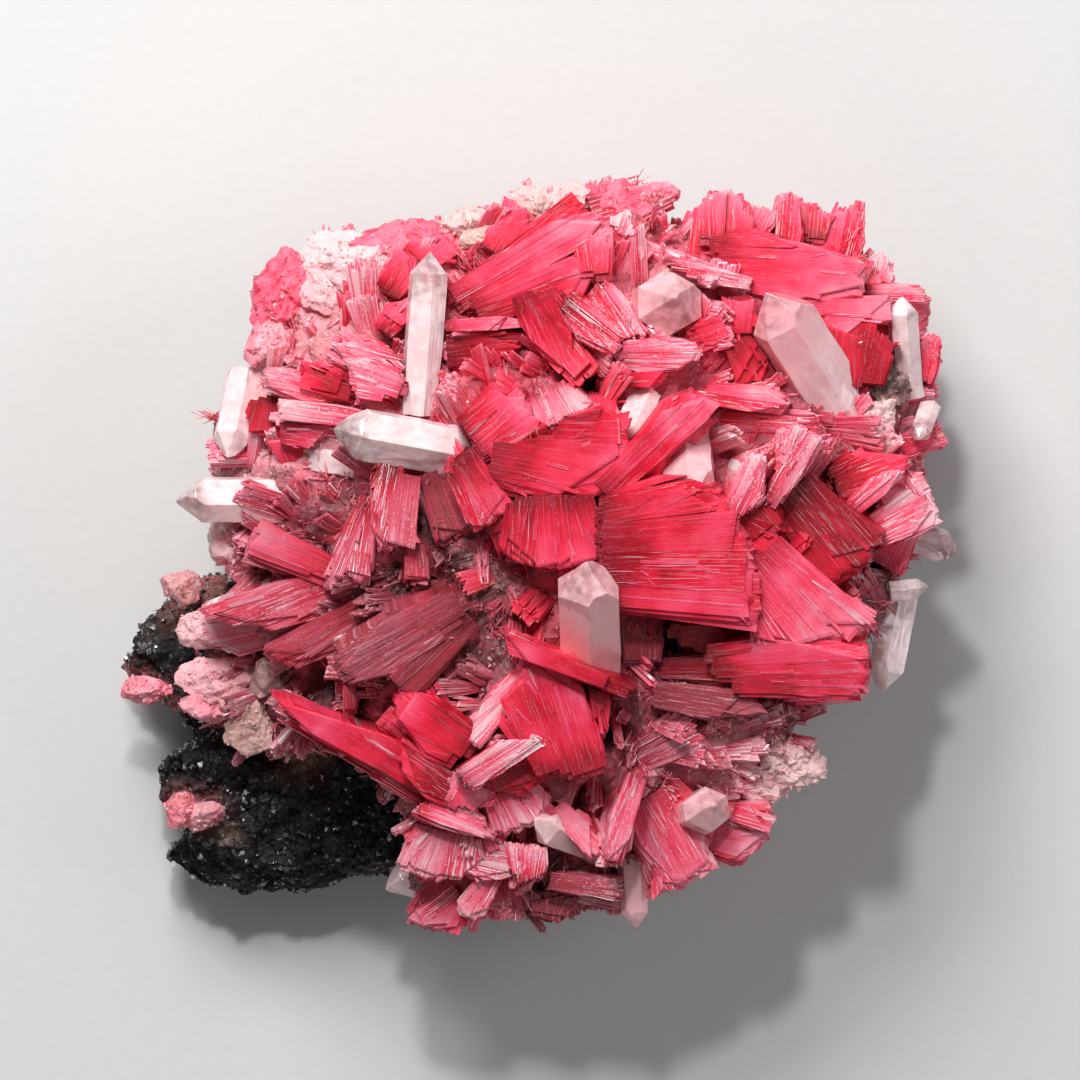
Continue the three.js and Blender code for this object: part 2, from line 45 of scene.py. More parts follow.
camera_data = bpy.data.cameras.new("camera")
camera_data.sensor_width = 36
camera_data.lens = 36 * (CAMERA_HEIGHT - MIDDLE_HEIGHT) / FRAME_WIDTH
camera = bpy.data.objects.new("camera", camera_data)
camera.location = (0, 0.0014, CAMERA_HEIGHT)
bpy.context.scene.collection.objects.link(camera)
bpy.context.scene.camera = camera


# Studio light: a soft key close over the top edge, a smaller and harder one above it that makes the
# facets glint, a soft fill from the right, a weak one from the front, and a dim even surround. The
# plain view transform keeps the reds as deep as the materials say.
LIGHTS = {
    # place in metres, side of the square in metres, power in watts, and colour
    "key_light": ((-0.09, 0.25, 0.30), 0.16, 1.4, (1.0, 0.98, 0.97)),
    "glint_light": ((-0.05, 0.34, 0.62), 0.05, 1.7, (1.0, 1.0, 1.0)),
    "fill_light": ((0.50, 0.10, 0.45), 0.30, 0.85, (0.97, 0.98, 1.0)),
    "front_light": ((-0.10, -0.50, 0.50), 0.30, 0.35, (1.0, 0.97, 0.97)),
}
for name, (place, side, power, colour) in LIGHTS.items():
    lamp = bpy.data.lights.new(name, "AREA")
    lamp.size = side
    lamp.energy = power
    lamp.color = colour
    light = bpy.data.objects.new(name, lamp)
    light.location = place
    light.rotation_euler = light.location.normalized().to_track_quat("Z", "Y").to_euler()
    bpy.context.scene.collection.objects.link(light)
world = bpy.data.worlds.new("studio")
world.use_nodes = True
world.node_tree.nodes["Background"].inputs["Color"].default_value = (0.9, 0.92, 0.95, 1)
world.node_tree.nodes["Background"].inputs["Strength"].default_value = 0.15
bpy.context.scene.world = world
bpy.context.scene.view_settings.view_transform = "Standard"


# The surface that it lies on: a plain pale studio floor. Its finish is written, as the others are, as
# sums on wires, and each sum becomes nodes of the material.
class Wire:
    """A shader socket. An expression on wires adds Math nodes to its material."""

    def __init__(self, finish, socket):
        self.finish = finish
        self.socket = socket

    def math(self, operation, first, second=0.0):
        """A Math node on two wires or numbers."""
        return self.finish.node("Math", {"operation": operation}, {0: first, 1: second})

    def __add__(self, other):
        return self.math("ADD", self, other)

    def __radd__(self, other):
        return self.math("ADD", other, self)

    def __sub__(self, other):
        return self.math("SUBTRACT", self, other)

    def __rsub__(self, other):
        return self.math("SUBTRACT", other, self)

    def __mul__(self, other):
        return self.math("MULTIPLY", self, other)

    def __rmul__(self, other):
        return self.math("MULTIPLY", other, self)

    def ramp(self, low, high):
        """0 up to low, 1 from high, and a smooth rise between them."""
        settings = {"interpolation_type": "SMOOTHSTEP"}
        return self.finish.node("MapRange", settings, {"Value": self, "From Min": low, "From Max": high})


class Finish:
    """A material that is being built from nodes."""

    def __init__(self, name):
        self.material = bpy.data.materials.new(name)
        self.material.use_nodes = True
        self.tree = self.material.node_tree
        self.tree.nodes.clear()

    def node(self, kind, settings=None, inputs=None, output=0):
        """Adds a shader node, sets it up, feeds its sockets, and gives one of its outputs."""
        made = self.tree.nodes.new("ShaderNode" + kind)
        for key, value in (settings or {}).items():
            if key == "stops":
                for stop, (place, colour) in zip(made.color_ramp.elements, value[:2]):
                    stop.position = place
                    stop.color = colour
                for place, colour in value[2:]:
                    made.color_ramp.elements.new(place).color = colour
            else:
                setattr(made, key, value)
        for key, value in (inputs or {}).items():
            if isinstance(value, Wire):
                self.tree.links.new(value.socket, made.inputs[key])
            else:
                made.inputs[key].default_value = value
        return Wire(self, made.outputs[output])

    def mix(self, share, first, second):
        """Two colours, mixed by a share from 0 for the first to 1 for the second."""
        return self.node("Mix", {"data_type": "RGBA"}, {0: share, 6: first, 7: second}, 2)

    def place(self):
        """Where a point lies, in metres."""
        return self.node("TexCoord", None, None, "Object")

    def stretch(self, where, x, y, z):
        """A place with each of its three numbers multiplied."""
        return self.node("VectorMath", {"operation": "MULTIPLY"}, {0: where, 1: (x, y, z)})

    def noise(self, where, scale, detail=3.0):
        """Smooth noise with so many grains to the metre, and so many layers of finer ones."""
        return self.node("TexNoise", None, {"Vector": where, "Scale": scale, "Detail": detail})

    def cells(self, where, scale, output=0):
        """How far the nearest of many scattered points is, with so many to the metre. The output
        Color is a random colour for each of them."""
        return self.node("TexVoronoi", None, {"Vector": where, "Scale": scale}, output)

    def chance(self, where, scale, channel=0):
        """A random number from 0 to 1 for each cell, with so many cells to the metre."""
        return self.node("SeparateXYZ", None, {0: self.cells(where, scale, "Color")}, channel)

    def parts(self, name):
        """The three numbers that a piece's own attribute holds at each point."""
        vector = self.node("Attribute", {"attribute_name": name}, None, "Vector")
        return [self.node("SeparateXYZ", None, {0: vector}, k) for k in range(3)]

    def bump(self, height, strength, distance):
        """A surface that leans as a height says, which is worth a distance in metres."""
        inputs = {"Height": height, "Strength": strength, "Distance": distance}
        return self.node("Bump", None, inputs)

    def principled(self, inputs):
        """The usual surface shader."""
        return self.node("BsdfPrincipled", None, inputs)

    def close(self, surface, volume=None):
        """Joins the shaders to the material's output, and gives the finished material."""
        end = self.tree.nodes.new("ShaderNodeOutputMaterial")
        self.tree.links.new(surface.socket, end.inputs["Surface"])
        if volume:
            self.tree.links.new(volume.socket, end.inputs["Volume"])
        return self.material


floor_mesh = bpy.data.meshes.new("studio_floor")
floor_mesh.from_pydata([(-4, -4, 0), (4, -4, 0), (4, 4, 0), (-4, 4, 0)], [], [(0, 1, 2, 3)])
floor = bpy.data.objects.new("studio_floor", floor_mesh)
bpy.context.scene.collection.objects.link(floor)
pale = Finish("pale_floor")
grain = pale.noise(pale.place(), 900.0)
floor_colour = pale.mix(grain, (0.62, 0.62, 0.61, 1), (0.66, 0.66, 0.65, 1))
floor_mesh.materials.append(pale.close(pale.principled({"Base Color": floor_colour, "Roughness": 0.75})))


# The matrix: a broken block of dark, granular manganese-rich rock. Its underside is sawn flat, and
# it carries the whole crust. It shows at the left and the lower left, with glints of fresh grains.
def lattice_noise(points, seed):
    """A smooth random field from -1 to 1: a random number at each corner of the unit grid, blended
    with a cubic ease between the eight corners around each point."""
    cell = np.floor(points).astype(np.int64)
    part = points - cell
    ease = part * part * (3 - 2 * part)
    total = np.zeros(len(points))
    for corner in np.ndindex(2, 2, 2):
        place = cell + np.array(corner)
        mixed = place[:, 0] * 374761393 + place[:, 1] * 668265263 + place[:, 2] * 2147483647 + seed * 974711
        mixed = (mixed ^ (mixed >> 13)) * 1274126177
        value = ((mixed ^ (mixed >> 16)) & 0xFFFF) / 32767.5 - 1
        total += value * np.prod(np.where(corner, ease, 1 - ease), axis=1)
    return total


def rough_noise(points, sizes, seed):
    """Layers of the random field, each with its own grain size, each half as strong as the last."""
    return sum(lattice_noise(points / size, seed + k) / 2**k for k, size in enumerate(sizes))


def along_outline(outline, count):
    """Points at even steps along a closed polygon, as a whole array."""
    corners = np.array(outline + outline[:1], float)
    travelled = np.concatenate([[0], np.cumsum(np.linalg.norm(np.diff(corners, axis=0), axis=1))])
    steps = np.arange(count) / count * travelled[-1]
    return np.stack([np.interp(steps, travelled, corners[:, k]) for k in (0, 1)], axis=1)


def mound_points(rim, middle, shares, heights):
    """Points on a grid of rings and spokes: each ring is the rim drawn in towards the middle by its
    share, at the heights that the function gives for its places."""
    plan = middle + (rim[None] - middle) * shares[:, None, None]
    return np.concatenate([plan, heights(plan[..., 0], plan[..., 1])[..., None]], axis=2)


def ring_faces(rings, spokes):
    """Quads between neighbouring rings of a closed grid, and a face that closes each end ring."""
    ring, spoke = np.meshgrid(np.arange(rings - 1), np.arange(spokes), indexing="ij")
    here = ring * spokes + spoke
    after = ring * spokes + (spoke + 1) % spokes
    quads = np.stack([here, here + spokes, after + spokes, after], axis=-1).reshape(-1, 4)
    end = np.arange(spokes)
    return [quads, end[None], (end[::-1] + (rings - 1) * spokes)[None]]


def make_piece(name, points, faces, material, attributes=None, replaces=()):
    """A flat-faced mesh object from points in millimetres and arrays of faces, riding on the
    specimen. The attributes are what its finish reads at each point."""
    mesh = bpy.data.meshes.new(name)
    mesh.vertices.add(len(points))
    mesh.vertices.foreach_set("co", (np.asarray(points) * 0.001).astype(np.float32).ravel())
    sizes = np.concatenate([np.full(len(block), block.shape[1]) for block in faces])
    mesh.loops.add(int(sizes.sum()))
    mesh.loops.foreach_set("vertex_index", np.concatenate([b.ravel() for b in faces]).astype(np.int32))
    mesh.polygons.add(len(sizes))
    starts = np.concatenate([[0], np.cumsum(sizes)[:-1]])
    mesh.polygons.foreach_set("loop_start", starts.astype(np.int32))
    mesh.polygons.foreach_set("loop_total", sizes.astype(np.int32))
    for key, values in (attributes or {}).items():
        attribute = mesh.attributes.new(key, "FLOAT_VECTOR", "POINT")
        attribute.data.foreach_set("vector", np.asarray(values, np.float32).ravel())
    mesh.update(calc_edges=True)
    mesh.validate()
    mesh.polygons.foreach_set("use_smooth", np.zeros(len(mesh.polygons), bool))
    mesh.materials.append(material)
    piece = bpy.data.objects.new(name, mesh)
    bpy.context.scene.collection.objects.link(piece)
    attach(piece, "root")
    if replaces:
        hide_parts(*replaces)


ROCK_OUTLINE = [
    [-42.1, -11.4], [-40.5, -13.6], [-38.0, -15.4], [-35.2, -18.1], [-35.4, -19.1], [-38.8, -21.4],
    [-38.5, -23.1], [-38.8, -24.6], [-37.4, -26.6], [-36.0, -28.4], [-38.2, -30.8], [-36.0, -32.2],
    [-32.5, -33.9], [-30.8, -34.9], [-28.0, -34.4], [-24.0, -34.4], [-21.3, -33.8], [-19.0, -32.8],
    [-16.8, -32.8], [-13.6, -34.0], [-8.0, -33.2], [4.0, -32.0], [13.0, -29.0], [19.0, -24.6], [22.0, -17.0],
    [28.0, -10.0], [32.6, -2.0], [33.4, 8.0], [33.0, 17.0], [29.6, 24.0], [22.4, 28.4], [13.0, 29.0],
    [5.0, 31.6], [-5.0, 30.4], [-14.0, 28.2], [-21.0, 25.0], [-25.0, 19.2], [-28.6, 12.0], [-30.0, 5.0],
    [-29.6, 0.6], [-31.0, -2.0], [-34.0, -2.2], [-35.7, -3.4], [-38.0, -4.8], [-40.7, -7.1],
]
ROCK_MIDDLE = np.array([-4.0, -3.0])
ROCK_SHARES = [0.0, 0.35, 0.62, 0.78, 0.9, 0.985, 1.0, 0.97, 0.91]
ROCK_HEIGHTS = [16.4, 16.4, 15.8, 14.2, 12.6, 9.4, 5.6, 2.4, 0.0]
ROCK_RINGS = 150
ROCK_SPOKES = 620
ROCK_UNDERSIDE = 7.99  # from this turn of the profile on, the skin is the flat underside
ROCK_LEDGE = 1.6  # height of the ledges on top, in millimetres
ROCK_GRAIN = 0.5  # how far grains stand out of the rock, in millimetres


def rock_points():
    """The rock's skin on a grid of rings and spokes. Its height runs through the profile of the
    block from the middle out and down the side, less ledges made of crossing waves, and the skin is
    moved up and out by layers of noise. The flat underside stays flat."""
    turn = np.linspace(0.3, len(ROCK_SHARES) - 1, ROCK_RINGS)
    shares = np.interp(turn, np.arange(len(ROCK_SHARES)), ROCK_SHARES)
    level = np.interp(turn, np.arange(len(ROCK_HEIGHTS)), ROCK_HEIGHTS)[:, None]
    on_top = np.clip(6 - turn, 0, 1)[:, None]

    def heights(x, y):
        """The profile's height, less a wave in x and y on top."""
        ledge = np.sin(x * 0.9 + 1.3 * np.sin(y * 0.6)) * np.cos(y * 0.8 - 0.4 * x)
        return level - on_top * ROCK_LEDGE * (0.5 + 0.5 * ledge)

    points = mound_points(along_outline(ROCK_OUTLINE, ROCK_SPOKES), ROCK_MIDDLE, shares, heights)
    flat = points.reshape(-1, 3)
    free = np.clip(points[..., 2] / 2.0, 0, 1)[..., None] * (turn[:, None, None] < ROCK_UNDERSIDE)
    coarse = rough_noise(flat, [3.1, 1.5, 0.8], 11).reshape(ROCK_RINGS, ROCK_SPOKES, 1)
    ridged = 1 - np.abs(rough_noise(flat, [1.9, 0.9], 17)).reshape(ROCK_RINGS, ROCK_SPOKES, 1)
    fine = rough_noise(flat, [0.62, 0.4], 23).reshape(ROCK_RINGS, ROCK_SPOKES, 1)
    outward = np.concatenate([points[..., :2] - ROCK_MIDDLE, np.full_like(coarse, 18.0)], axis=2)
    outward /= np.linalg.norm(outward, axis=2, keepdims=True)
    relief = 0.6 * coarse + 1.1 * (ridged - 0.9) - 0.25 + ROCK_GRAIN * np.abs(fine)
    return points + outward * free * relief


def rock_finish():
    """Near-black granular rock. Cells of about half a millimetre differ in gloss, so some glint, and
    soft patches turn it brown, tan or pink."""
    made = Finish("dark_rock")
    place = made.place()
    grains = made.chance(place, 1900.0)
    coarse = made.chance(place, 700.0, 1)
    patch = made.noise(place, 110.0).ramp(0.45, 0.75)
    weather = made.noise(place, 330.0, 5.0).ramp(0.62, 0.85)
    dust, tan, pink = made.parts("tone")
    colour = made.mix(grains.ramp(0.6, 1.0), (0.002, 0.002, 0.0025, 1), (0.028, 0.030, 0.030, 1))
    colour = made.mix(patch * 0.4, colour, (0.012, 0.008, 0.006, 1))
    colour = made.mix(weather * 0.5, colour, (0.05, 0.055, 0.05, 1))
    colour = made.mix(tan * (0.4 + 0.6 * coarse), colour, (0.36, 0.20, 0.12, 1))
    colour = made.mix(pink * (0.3 + 0.7 * grains), colour, (0.66, 0.14, 0.17, 1))
    colour = made.mix(dust * grains.ramp(0.5, 0.9), colour, (0.36, 0.34, 0.33, 1))
    roughness = 0.6 - 0.42 * grains.ramp(0.7, 0.95)
    relief = made.cells(place, 1500.0) + 0.6 * made.noise(place, 4000.0)
    return made.close(made.principled({
        "Base Color": colour, "Roughness": roughness, "IOR": 1.5, "Specular IOR Level": 0.32,
        "Normal": made.bump(relief, 0.7, 0.0004),
    }))


ROCK_STAINS = [
    # x, y, radius in millimetres, then dust, tan and pink from 0 to 1
    [-36.5, -25.5, 1.6, 0.1, 0.2, 0.9],
    [-33.8, -25.8, 1.8, 0.7, 0.1, 0.6],
    [-36.6, -5.6, 2.0, 0.3, 0.3, 0.25],
    [-33.6, -1.6, 2.6, 0.1, 0.5, 0.7],
    [-41.2, -13.0, 1.6, 0.1, 0.1, 0.9],
    [-38.6, -15.2, 2.0, 0.1, 0.1, 0.9],
    [-32.8, -3.4, 2.0, 0.2, 0.5, 0.5],
    [-31.8, -28.2, 1.4, 0.5, 0.2, 0.1],
    [-24.0, -19.8, 2.6, 0.3, 0.5, 0.1],
    [-16.4, -33.6, 2.2, 0.9, 0.1, 0.1],
    [-40.0, -8.0, 1.2, 0.6, 0.1, 0.0],
]
rock_skin = rock_points().reshape(-1, 3)
rock_tone = np.zeros((len(rock_skin), 3))
for x, y, radius, *share in ROCK_STAINS:
    away = ((rock_skin[:, 0] - x) ** 2 + (rock_skin[:, 1] - y) ** 2) / radius**2
    rock_tone = np.maximum(rock_tone, np.exp(-away)[:, None] * np.array(share))
rock_faces = ring_faces(ROCK_RINGS, ROCK_SPOKES)
make_piece("rock", rock_skin, rock_faces, rock_finish(), {"tone": rock_tone}, ["matrix"])


# Fresh grains: sharp black mineral grains that stand half out of the broken rock and catch the light.
# One in six is painted light grey, a painted glint beside the real glints of their gloss.
GRAIN_COUNT = 8500
GRAIN_SIZES = (0.16, 0.62)  # half widths in millimetres
GRAIN_FLOOR = 1.2  # none grow lower than this on the sides, in millimetres
# The faces of an octahedron whose corners 3, 4 and 5 lie opposite 0, 1 and 2.
EIGHT_FACES = np.array([
    (0, 1, 2), (1, 3, 2), (3, 4, 2), (4, 0, 2), (1, 0, 5), (3, 1, 5), (4, 3, 5), (0, 4, 5),
])


def unit(vectors):
    """Each vector divided by its length."""
    return vectors / np.linalg.norm(vectors, axis=-1, keepdims=True)


def grain_points(middles, sizes, draw):
    """Each grain is an octahedron: corners at plus and minus three crossing axes about its middle.
    The axes are turned at random and differ in length."""
    first = unit(draw.normal(0, 1, middles.shape))
    second = unit(np.cross(first, draw.normal(0, 1, middles.shape)))
    axes = np.stack([first, second, np.cross(first, second)], axis=1)
    axes = axes * (sizes[:, None] * draw.uniform(0.5, 1.0, (len(sizes), 3)))[..., None]
    return np.concatenate([middles[:, None] + axes, middles[:, None] - axes], axis=1).reshape(-1, 3)


def grain_faces(count):
    """The eight faces of every grain, whose six corners follow each other in the points."""
    return [(EIGHT_FACES[None] + 6 * np.arange(count)[:, None, None]).reshape(-1, 3)]


draw = np.random.default_rng(5)
high = np.flatnonzero(rock_skin[:, 2] > GRAIN_FLOOR)
picked = rock_skin[draw.choice(high, GRAIN_COUNT)]
sizes = GRAIN_SIZES[0] + (GRAIN_SIZES[1] - GRAIN_SIZES[0]) * draw.uniform(0, 1, GRAIN_COUNT) ** 3
grains = grain_points(picked, sizes, draw)
glinting = Finish("glinting_grains")
shade = glinting.noise(glinting.place(), 260.0).ramp(0.3, 0.7)
grain_colour_and_painted_glint = glinting.mix(shade, (0.004, 0.004, 0.004, 1), (0.075, 0.082, 0.078, 1))
# Painted glint: one grain in six gets a light grey colour, as if it caught the light.
silver = glinting.chance(glinting.place(), 1100.0).ramp(0.80, 0.84)
grain_colour_and_painted_glint = glinting.mix(silver, grain_colour_and_painted_glint, (0.36, 0.37, 0.34, 1))
glinting_black = glinting.close(
    glinting.principled({"Base Color": grain_colour_and_painted_glint, "Roughness": 0.12, "IOR": 1.9})
)
make_piece("rock_grains", grains, grain_faces(GRAIN_COUNT), glinting_black)


# The massive rhodonite of the crust: a rough dome of pale and mauve grains, grown over the rock and
# locked to it. Every blade and quartz point is rooted in it.
CRUST_OUTLINE = [
    [-26.4, 28.2], [-26.1, 25.4], [-25.4, 23.4], [-28.6, 19.4], [-31.6, 17.4], [-32.8, 13.6], [-32.8, 6.4],
    [-32.5, 2.9], [-28.5, -0.6], [-30.0, -3.6], [-34.0, -6.1], [-34.5, -9.6], [-35.5, -13.6], [-35.6, -16.6],
    [-31.5, -17.8], [-29.8, -19.6], [-26.5, -20.4], [-23.0, -18.8], [-19.0, -20.6], [-15.5, -23.1],
    [-12.9, -26.1], [-13.4, -29.6], [-13.0, -33.6], [-11.5, -36.0], [-7.0, -36.4], [-2.0, -36.0],
    [3.0, -36.0], [8.0, -35.2], [13.0, -33.0], [17.0, -30.8], [20.5, -28.9], [22.3, -26.1], [22.8, -23.0],
    [25.8, -17.2],
    [28.0, -12.6], [32.0, -9.6], [35.0, -5.4], [36.6, -0.6], [37.4, 8.4], [38.2, 15.0], [37.0, 22.2],
    [34.6, 26.2], [31.6, 29.2], [28.8, 31.6], [24.0, 33.0], [16.0, 33.4], [13.0, 32.6], [11.0, 33.4],
    [11.6, 35.4], [9.4, 37.6], [5.0, 36.7], [-3.0, 35.9], [-6.2, 33.6], [-9.3, 32.5], [-14.0, 32.4],
    [-17.2, 32.1], [-18.8, 31.4], [-20.8, 31.9], [-22.6, 30.5],
]
CRUST_MIDDLE = np.array([2.0, 1.0])
CRUST_SHARES = [0.0, 0.4, 0.7, 0.88, 0.96, 1.0, 0.97, 0.9]
CRUST_DROPS = [0.0, 0.0, 0.0, 0.6, 2.0, 4.2]
CRUST_RINGS = 130
CRUST_SPOKES = 560
CRUST_UNDERSIDE = 7.5

# Gaps between the blades, where the crust sinks and is painted dark as shade: x, y, radius and depth in
# millimetres.
CAVITIES = [
    [16.0, -8.6, 4.0, 5.0], [33.0, -0.6, 2.4, 3.5], [-8.6, -13.4, 2.4, 4.0], [4.8, 16.4, 2.0, 3.0],
    [6.8, -17.8, 1.8, 3.0], [-20.4, -12.6, 2.6, 3.0], [-11.6, -3.2, 2.6, 3.0], [-3.4, 21.4, 2.2, 3.0],
    [-28.6, -5.4, 2.4, 3.0], [4.8, -25.0, 1.6, 2.0], [-13.4, 3.0, 2.0, 2.0], [34.6, 17.2, 2.0, 1.5],
]

# The crust's colour by place: x, y, radius, then depth of red, share of mauve and share of white.
TONES = [
    [2.0, 8.0, 9.0, 0.85, 0.05, 0.05], [14.0, 1.0, 10.0, 0.8, 0.1, 0.1], [-1.0, 28.0, 8.0, 0.6, 0.0, 0.3],
    [25.0, 26.0, 9.0, 0.55, 0.05, 0.25], [-20.0, 27.0, 7.0, 0.15, 0.0, 0.8],
    [-14.0, 20.0, 7.0, 0.3, 0.1, 0.6],
    [-24.0, 11.0, 7.0, 0.25, 0.05, 0.75], [-27.0, -8.0, 8.0, 0.35, 0.6, 0.3],
    # The mauve at the centre left is partly the druse's own grey-mauve and partly painted shade over the dark
    # gaps there.
    [-14.0, -5.0, 8.0, 0.3, 0.75, 0.25], [-32.0, -15.0, 5.0, 0.25, 0.3, 0.5],
    [-25.0, -15.0, 5.0, 0.2, 0.4, 0.5], [-5.0, -23.0, 7.0, 0.35, 0.3, 0.5],
    [0.0, -32.0, 9.0, 0.3, 0.6, 0.4], [14.0, -24.0, 8.0, 0.3, 0.35, 0.55],
    [22.0, -21.0, 6.0, 0.15, 0.1, 0.85],
    [27.0, -14.0, 6.0, 0.3, 0.6, 0.3], [33.0, -2.0, 6.0, 0.35, 0.6, 0.3], [33.0, 14.0, 5.0, 0.2, 0.1, 0.7],
    [30.0, 6.0, 6.0, 0.6, 0.3, 0.15], [9.0, 16.0, 5.0, 0.3, 0.15, 0.7], [1.0, 34.0, 6.0, 0.15, 0.0, 0.85],
    [-21.0, 4.0, 3.5, 0.8, 0.6, 0.0], [-9.0, -1.5, 4.0, 0.7, 0.9, 0.0], [3.0, -23.0, 3.0, 0.25, 0.1, 0.5],
    [13.0, 24.0, 6.0, 0.2, 0.0, 0.8], [22.0, 12.0, 6.0, 0.45, 0.3, 0.35], [-28.0, 14.0, 4.0, 0.2, 0.05, 0.8],
]


def dome(x, y):
    """Height of the crust's smooth dome: an ellipsoid's cap on a rim, with a hollow, shaped like a
    bell curve, at the low left corner."""
    across = (x - 3.0) / 43
    along = y / 42
    cap = np.sqrt(np.maximum(0, 1 - across**2 - along**2))
    away = ((x + 31) ** 2 + (y + 12) ** 2) / 8.0**2
    return 14.0 + 19.0 * cap - 7.0 * np.exp(-away / 2)


def cavity_depth(x, y):
    """The deepest of the gaps at a place, each shaped like a bell curve."""
    depth = np.zeros_like(x)
    for cx, cy, radius, deep in CAVITIES:
        depth = np.maximum(depth, deep * np.exp(-((x - cx) ** 2 + (y - cy) ** 2) / radius**2))
    return depth


def tone_at(x, y):
    """Red, mauve and white at a place: an average of the listed tones, each weighted by a bell
    curve of its distance, over a faint even tone."""
    total = np.full(x.shape, 0.05)
    mixed = np.stack([total * share for share in (0.45, 0.35, 0.35)], axis=-1)
    for cx, cy, radius, *share in TONES:
        weight = np.exp(-((x - cx) ** 2 + (y - cy) ** 2) / radius**2)
        total = total + weight
        mixed = mixed + weight[..., None] * np.array(share)
    return mixed / total[..., None]


def crust_points():
    """The crust's skin on a grid of rings and spokes: the dome less its fall at the rim, then down
    the side and in to the rock, roughened along its slope by layers of noise."""
    turn = np.linspace(0.15, len(CRUST_SHARES) - 1, CRUST_RINGS)
    shares = np.interp(turn, np.arange(len(CRUST_SHARES)), CRUST_SHARES)
    drop = np.interp(turn, np.arange(len(CRUST_DROPS)), CRUST_DROPS)[:, None]
    down = np.clip(turn - 5, 0, 2)[:, None]

    def heights(x, y):
        """On top the dome with a slow wave, less the fall and the gaps, and then down the side."""
        top = dome(x, y) + 0.7 * np.sin(0.7 * x + 0.9) * np.cos(0.8 * y) - drop - cavity_depth(x, y)
        uneven = CRUST_UNDERSIDE + 1.6 * np.sin(0.31 * x + 1.1) * np.cos(0.23 * y)
        side = np.where(down < 1, top + (uneven + 3 - top) * down, uneven + 3 * (2 - down))
        return np.where(down > 0, side, top)

    points = mound_points(along_outline(CRUST_OUTLINE, CRUST_SPOKES), CRUST_MIDDLE, shares, heights)
    flat = points.reshape(-1, 3)
    bumps = rough_noise(flat, [2.2, 1.1, 0.6, 0.4], 41).reshape(CRUST_RINGS, CRUST_SPOKES, 1)
    upward = 30 - 15 * down[..., None] + 0 * bumps
    outward = np.concatenate([points[..., :2] - CRUST_MIDDLE, upward], axis=2)
    outward /= np.linalg.norm(outward, axis=2, keepdims=True)
    return points + outward * (0.8 * bumps - 0.4)


# From pale at 0, through the pink of thin crystal, to the deep red of thick crystal at 1. The two ends
# come first, because a new ramp already has two stops.
RED_STOPS = [
    (0.0, (0.90, 0.50, 0.54, 1)), (1.0, (0.34, 0.002, 0.012, 1)), (0.25, (0.90, 0.20, 0.29, 1)),
    (0.5, (0.86, 0.060, 0.135, 1)), (0.75, (0.72, 0.012, 0.045, 1)),
]
# Partly the crust's own colour and partly painted shade: where it shows between the blades it is painted
# redder, more mauve and less white, so that the gaps look deep.
CRUST_SHADE = np.array([0.35, 0.50, -0.1])  # between the blades it is redder, more mauve, less white
# Painted shade: the crust is painted near black in gaps this deep, and darker in shallower ones.
GAP_SHADE_DEPTH = 2.5  # a gap this deep, in millimetres, is wholly dark


def massive_finish():
    """Sugary massive rhodonite: pale to mauve grains with white and dark red specks, and tan or
    brown where it is stained. In the deep gaps between the blades it is painted near black, as
    painted shade."""
    made = Finish("massive_rhodonite")
    place = made.place()
    red, mauve, white = made.parts("tone")
    # The second attribute holds the painted shade of the gaps, then the tan and brown stains.
    pit, tan, brown = made.parts("pit")
    grains = made.chance(place, 1700.0)
    cloud = made.noise(place, 420.0)
    depth = red * 0.55 + 0.5 * (cloud - 0.5) + 0.15 * (grains - 0.5)
    colour = made.node("ValToRGB", {"stops": RED_STOPS}, {0: depth})
    colour = made.mix(mauve * cloud.ramp(0.2, 0.55), colour, (0.17, 0.052, 0.060, 1))
    sugar = white.ramp(0.45, 0.85) * (cloud + 0.3 * grains).ramp(0.3, 0.7)
    colour = made.mix(sugar, colour, (0.86, 0.58, 0.58, 1))
    colour = made.mix(grains.ramp(0.9, 0.98) * 0.6, colour, (0.25, 0.02, 0.04, 1))
    cream = made.mix(grains, (0.34, 0.22, 0.14, 1), (0.72, 0.56, 0.45, 1))
    colour = made.mix(tan * (0.5 + 0.5 * cloud), colour, cream)
    colour = made.mix(brown * (cloud + 0.3 * grains).ramp(0.35, 0.7), colour, (0.06, 0.035, 0.022, 1))
    # Painted shade: near black in the gaps between the blades.
    colour = made.mix(pit, colour, (0.02, 0.003, 0.005, 1))
    relief = made.cells(place, 1300.0) + made.noise(place, 2600.0)
    return made.close(made.principled({
        "Base Color": colour, "Roughness": 0.75 - 0.3 * grains, "IOR": 1.6,
        "Normal": made.bump(relief, 0.5, 0.0003),
    }))


crust_skin = crust_points().reshape(-1, 3)
crust_tone = np.clip(tone_at(crust_skin[:, 0], crust_skin[:, 1]) + CRUST_SHADE, 0, 1)
# Painted shade for the crust: the deeper the gap, the darker.
crust_gap_shade = np.zeros_like(crust_skin)
crust_gap_shade[:, 0] = np.clip(cavity_depth(crust_skin[:, 0], crust_skin[:, 1]) / GAP_SHADE_DEPTH, 0, 1)
massive = massive_finish()
make_piece(
    "massive_crust", crust_skin, ring_faces(CRUST_RINGS, CRUST_SPOKES), massive,
    {"tone": crust_tone, "pit": crust_gap_shade}, ["rhodonite"],
)


